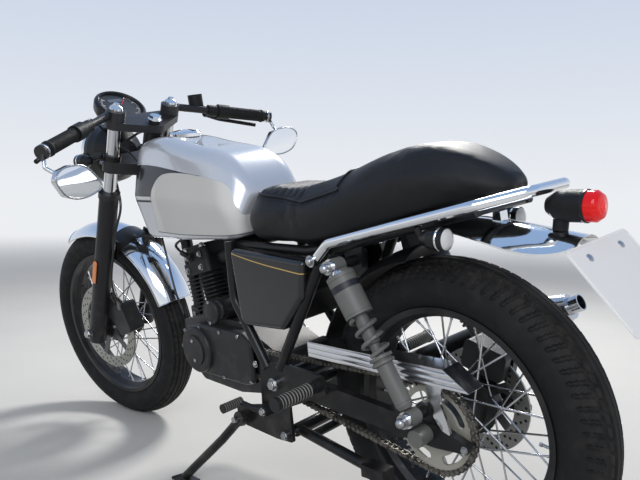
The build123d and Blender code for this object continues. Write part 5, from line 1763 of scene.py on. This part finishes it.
# cable: places that turn with the fork, then places on the frame, in the upright machine
CROSSING_CABLES = {
    "clutch_cable": (
        [(1004, 214, 966), (1045, 166, 978), (1090, 114, 962), (1106, 74, 925), (1084, 56, 893)],
        [(1030, 50, 850), (992, 47, 780), (966, 46, 700), (930, 54, 600), (868, 74, 480), (822, 84, 428)],
    ),
    "throttle_cable": (
        [(1004, -214, 966), (1045, -166, 978), (1090, -114, 962), (1106, -74, 925), (1084, -56, 893)],
        [
            (1030, -50, 850),
            (990, -46, 770),
            (940, -44, 690),
            (860, -44, 654),
            (740, -38, 648),
            (676, -18, 606),
        ],
    ),
}
# places of the front brake's hose: first on the straight machine, then up the fork
HOSE_HIGH = [(1012, -168, 968), (1066, -122, 974), (1108, -66, 930)]
HOSE_LOW = [(26, 0, 646), (34, 58, 602), (34, 66, 540), (8, 64, 500), (-32, 78, 450), (-40, 95, 380)]
HOSE_LOW += [(-40, 97, 300), (-44, 96, 200), (-80, 88, 128)]
CABLE_R = 0.0029
HOSE_R = 0.0036


class CAFERACER_OT_cables(bpy.types.Operator):
    """Add the clutch and throttle cables, the brake hose, and the plate's screws and rim"""

    bl_idname = "caferacer.cables"
    bl_label = "Cables and plate"

    def execute(self, context):
        for name, (turning, fixed) in CROSSING_CABLES.items():
            spots = [STEERED @ Vector(p) for p in turning] + [UPRIGHT @ Vector(p) for p in fixed]
            shape = Shape()
            shape.tube(Matrix(), smooth_line(spots, parts=6), CABLE_R, 10)
            cable = piece(name, shape, None, "black_plastic", "cable")
            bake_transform(cable)
        spots = [STEERED @ Vector(p) for p in HOSE_HIGH] + [FORK @ Vector(p) for p in HOSE_LOW]
        shape = Shape()
        shape.tube(Matrix(), smooth_line(spots, parts=6), HOSE_R, 10)
        for spot, after in ((spots[0], spots[1]), (spots[-1], spots[-2])):
            fitting = [(0, -6), (6, -6), (6, 10), (4.4, 12), (4.4, 22), (0, 22)]
            shape.revolve(along(spot, after) @ MILLIMETRES, fitting, 12, 1)
        piece("brake_hose", shape, "steering", "black_plastic", "cable", "zinc")
        tilt = radians(PLATE_TILT)
        place = UPRIGHT @ basis((0, 1, 0), (-cos(tilt), 0, sin(tilt)), PLATE_PLACE)
        screws = Shape()
        for x in (-58, 58):
            head = [(7, 0), (6.4, 1.6), (4, 2.8), (0, 3.2)]
            screws.revolve(place @ Matrix.Translation((x, 24, PLATE_THICK)), head, 20)
        edge = [(-98, 4), (98, 4), (106, 12), (106, 148), (98, 156), (-98, 156), (-106, 148), (-106, 12)]
        line = [Vector((x, y, PLATE_THICK)) for x, y in edge]
        screws.tube(place, line, 0.9, 8, 1, closed=True)
        piece("plate_screws", screws, "chassis", "plate", "steel", "plate")
        return {"FINISHED"}


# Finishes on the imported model


class CAFERACER_OT_finishes(bpy.types.Operator):
    """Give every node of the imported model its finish"""

    bl_idname = "caferacer.finishes"
    bl_label = "Finishes"

    def execute(self, context):
        make_finishes(context.scene.cafe_racer_look)
        left = set(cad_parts)
        for finish, nodes in NODE_FINISH.items():
            for node in nodes:
                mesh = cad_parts[node].data
                mesh.materials.clear()
                mesh.materials.append(FINISH[finish])
                left.discard(node)
        if left:
            raise RuntimeError(f"no finish is named for {sorted(left)}")
        return {"FINISHED"}


# Stage


CAMERA_PLACE = Vector((-1.391185, 1.089874, 0.730449))
CAMERA_YAW, CAMERA_PITCH, CAMERA_ROLL = -44.53, -3.49, 0.92
CAMERA_LENS = 39.0
SKY = [(0.0, (0.84, 0.86, 0.89)), (0.62, (0.30, 0.44, 0.70))]
WORLD_LIGHT = (0.93, 0.96, 1.0)
WORLD_STRENGTH = 0.46
FLOOR_RINGS = (0.001, 0.5, 1.0, 2.0, 4.0, 8.0, 14.0)


def pale_world():
    """Pale sky, seen by the camera and in bright metal, over an even light of its own."""
    world = bpy.data.worlds.new("studio")
    bpy.context.scene.world = world
    graph = Graph("studio", world)
    graph.tree.nodes.clear()
    ways = graph.node("ShaderNodeLightPath").outputs
    camera, glossy, through = (
        Wire(graph, ways[name]) for name in ("Is Camera Ray", "Is Glossy Ray", "Is Transmission Ray")
    )
    seen = camera.maths("MAXIMUM", glossy.maths("MAXIMUM", through))
    _, _, up = graph.split(graph.node("ShaderNodeTexCoord").outputs["Generated"])
    sky = graph.node("ShaderNodeValToRGB", {"stops": SKY}, [up]).outputs[0]
    shown = graph.node("ShaderNodeBackground", inputs={"Color": sky, "Strength": 1.0})
    light = graph.node("ShaderNodeBackground", inputs={"Color": WORLD_LIGHT, "Strength": WORLD_STRENGTH})
    both = graph.node("ShaderNodeMixShader", inputs=[seen, light.outputs[0], shown.outputs[0]])
    graph.node("ShaderNodeOutputWorld", inputs=[both.outputs[0]])


def pale_floor():
    """Round grey floor that fades out far from the machine."""
    shape = Shape()
    turns = [2 * pi * number / 64 for number in range(64)]
    rings = [[(radius * cos(turn), radius * sin(turn), -0.0004) for turn in turns] for radius in FLOOR_RINGS]
    shape.grid(Matrix(), rings, wrap_columns=True)
    mesh = bpy.data.meshes.new("floor")
    mesh.from_pydata([tuple(point) for point in shape.points], [], shape.faces)
    floor = bpy.data.objects.new("floor", mesh)
    bpy.context.scene.collection.objects.link(floor)
    graph = Graph("floor_grey")
    spot = graph.spot()
    tone = graph.noise(spot, 2.0, 4.0)
    speck = graph.noise(spot, 160.0, 3.0)
    base = graph.mix(tone, (0.60, 0.60, 0.60), (0.68, 0.68, 0.68))
    base = graph.mix(speck * 0.3, base, (0.50, 0.50, 0.50))
    graph.set(Base_Color=base, Roughness=0.85)
    graph.set(Normal=graph.bump(speck, 0.2, 0.002))
    x, y, _ = graph.split(spot)
    away = norm(x, y).ramp(4.0, 12.0)
    clear = graph.node("ShaderNodeBsdfTransparent").outputs[0]
    fade = graph.node("ShaderNodeMixShader", inputs=[away, graph.shader.outputs[0], clear])
    graph.feed(graph.tree.nodes["Material Output"].inputs["Surface"], fade.outputs[0])
    mesh.materials.append(graph.material)


def lamp(name, place, size, power, colour):
    """Soft area lamp that looks at the middle of the machine."""
    light = bpy.data.lights.new(name, "AREA")
    light.shape = "RECTANGLE"
    light.size, light.size_y = size
    light.energy = power
    light.color = colour
    thing = bpy.data.objects.new(name, light)
    bpy.context.scene.collection.objects.link(thing)
    thing.location = place
    way = Vector((0, 0, 0.5)) - Vector(place)
    thing.rotation_euler = way.to_track_quat("-Z", "Y").to_euler()


class CAFERACER_OT_stage(bpy.types.Operator):
    """Set up the camera, the floor, the world and the lamps"""

    bl_idname = "caferacer.stage"
    bl_label = "Stage"

    def execute(self, context):
        scene = context.scene
        scene.view_settings.view_transform = "Standard"
        data = bpy.data.cameras.new("photo_camera")
        data.lens = CAMERA_LENS
        data.sensor_width = 36.0
        data.clip_start = 0.01
        camera = bpy.data.objects.new("photo_camera", data)
        scene.collection.objects.link(camera)
        yaw, pitch, roll = radians(CAMERA_YAW), radians(CAMERA_PITCH), radians(CAMERA_ROLL)
        ahead = Vector((cos(yaw) * cos(pitch), sin(yaw) * cos(pitch), sin(pitch)))
        right = ahead.cross(Vector((0, 0, 1))).normalized()
        up = right.cross(ahead)
        side = right * cos(roll) + up * sin(roll)
        top = up * cos(roll) - right * sin(roll)
        turn = Matrix((side, top, -ahead)).transposed().to_4x4()
        camera.matrix_world = Matrix.Translation(CAMERA_PLACE) @ turn
        scene.camera = camera
        pale_world()
        pale_floor()
        lamp("key", (1.3, -2.6, 3.4), (0.9, 0.9), 140, (1.0, 0.97, 0.92))
        lamp("fill", (-2.4, 2.6, 2.4), (2.2, 1.6), 60, (0.97, 0.98, 1.0))
        return {"FINISHED"}


# Panel and registration


OPERATORS = (
    CAFERACER_OT_stage,
    CAFERACER_OT_finishes,
    CAFERACER_OT_tyres,
    CAFERACER_OT_seat,
    CAFERACER_OT_drive,
    CAFERACER_OT_wheels,
    CAFERACER_OT_fender,
    CAFERACER_OT_fasteners,
    CAFERACER_OT_cockpit,
    CAFERACER_OT_lamps,
    CAFERACER_OT_cables,
)


class CAFERACER_PT_panel(bpy.types.Panel):
    """Sizes, colours and pieces of the cafe racer"""

    bl_label = "Cafe racer"
    bl_idname = "CAFERACER_PT_panel"
    bl_space_type = "VIEW_3D"
    bl_region_type = "UI"
    bl_category = "Cafe racer"

    def draw(self, context):
        layout = self.layout
        for group in (context.scene.cafe_racer_look, context.scene.cafe_racer_sizes):
            for name in group.__annotations__:
                layout.prop(group, name)
        for operator in OPERATORS:
            layout.operator(operator.bl_idname)


CLASSES = (CafeRacerLook, CafeRacerSizes, *OPERATORS, CAFERACER_PT_panel)


def register():
    for part in CLASSES:
        bpy.utils.register_class(part)
    bpy.types.Scene.cafe_racer_look = PointerProperty(type=CafeRacerLook)
    bpy.types.Scene.cafe_racer_sizes = PointerProperty(type=CafeRacerSizes)


def unregister():
    del bpy.types.Scene.cafe_racer_sizes
    del bpy.types.Scene.cafe_racer_look
    for part in reversed(CLASSES):
        bpy.utils.unregister_class(part)


def main():
    register()
    bpy.ops.caferacer.stage()
    bpy.ops.caferacer.finishes()
    bpy.ops.caferacer.tyres()
    bpy.ops.caferacer.seat()
    bpy.ops.caferacer.drive()
    bpy.ops.caferacer.wheels()
    bpy.ops.caferacer.fender()
    bpy.ops.caferacer.fasteners()
    bpy.ops.caferacer.cockpit()
    bpy.ops.caferacer.lamps()
    bpy.ops.caferacer.cables()


if __name__ == "__main__":
    main()
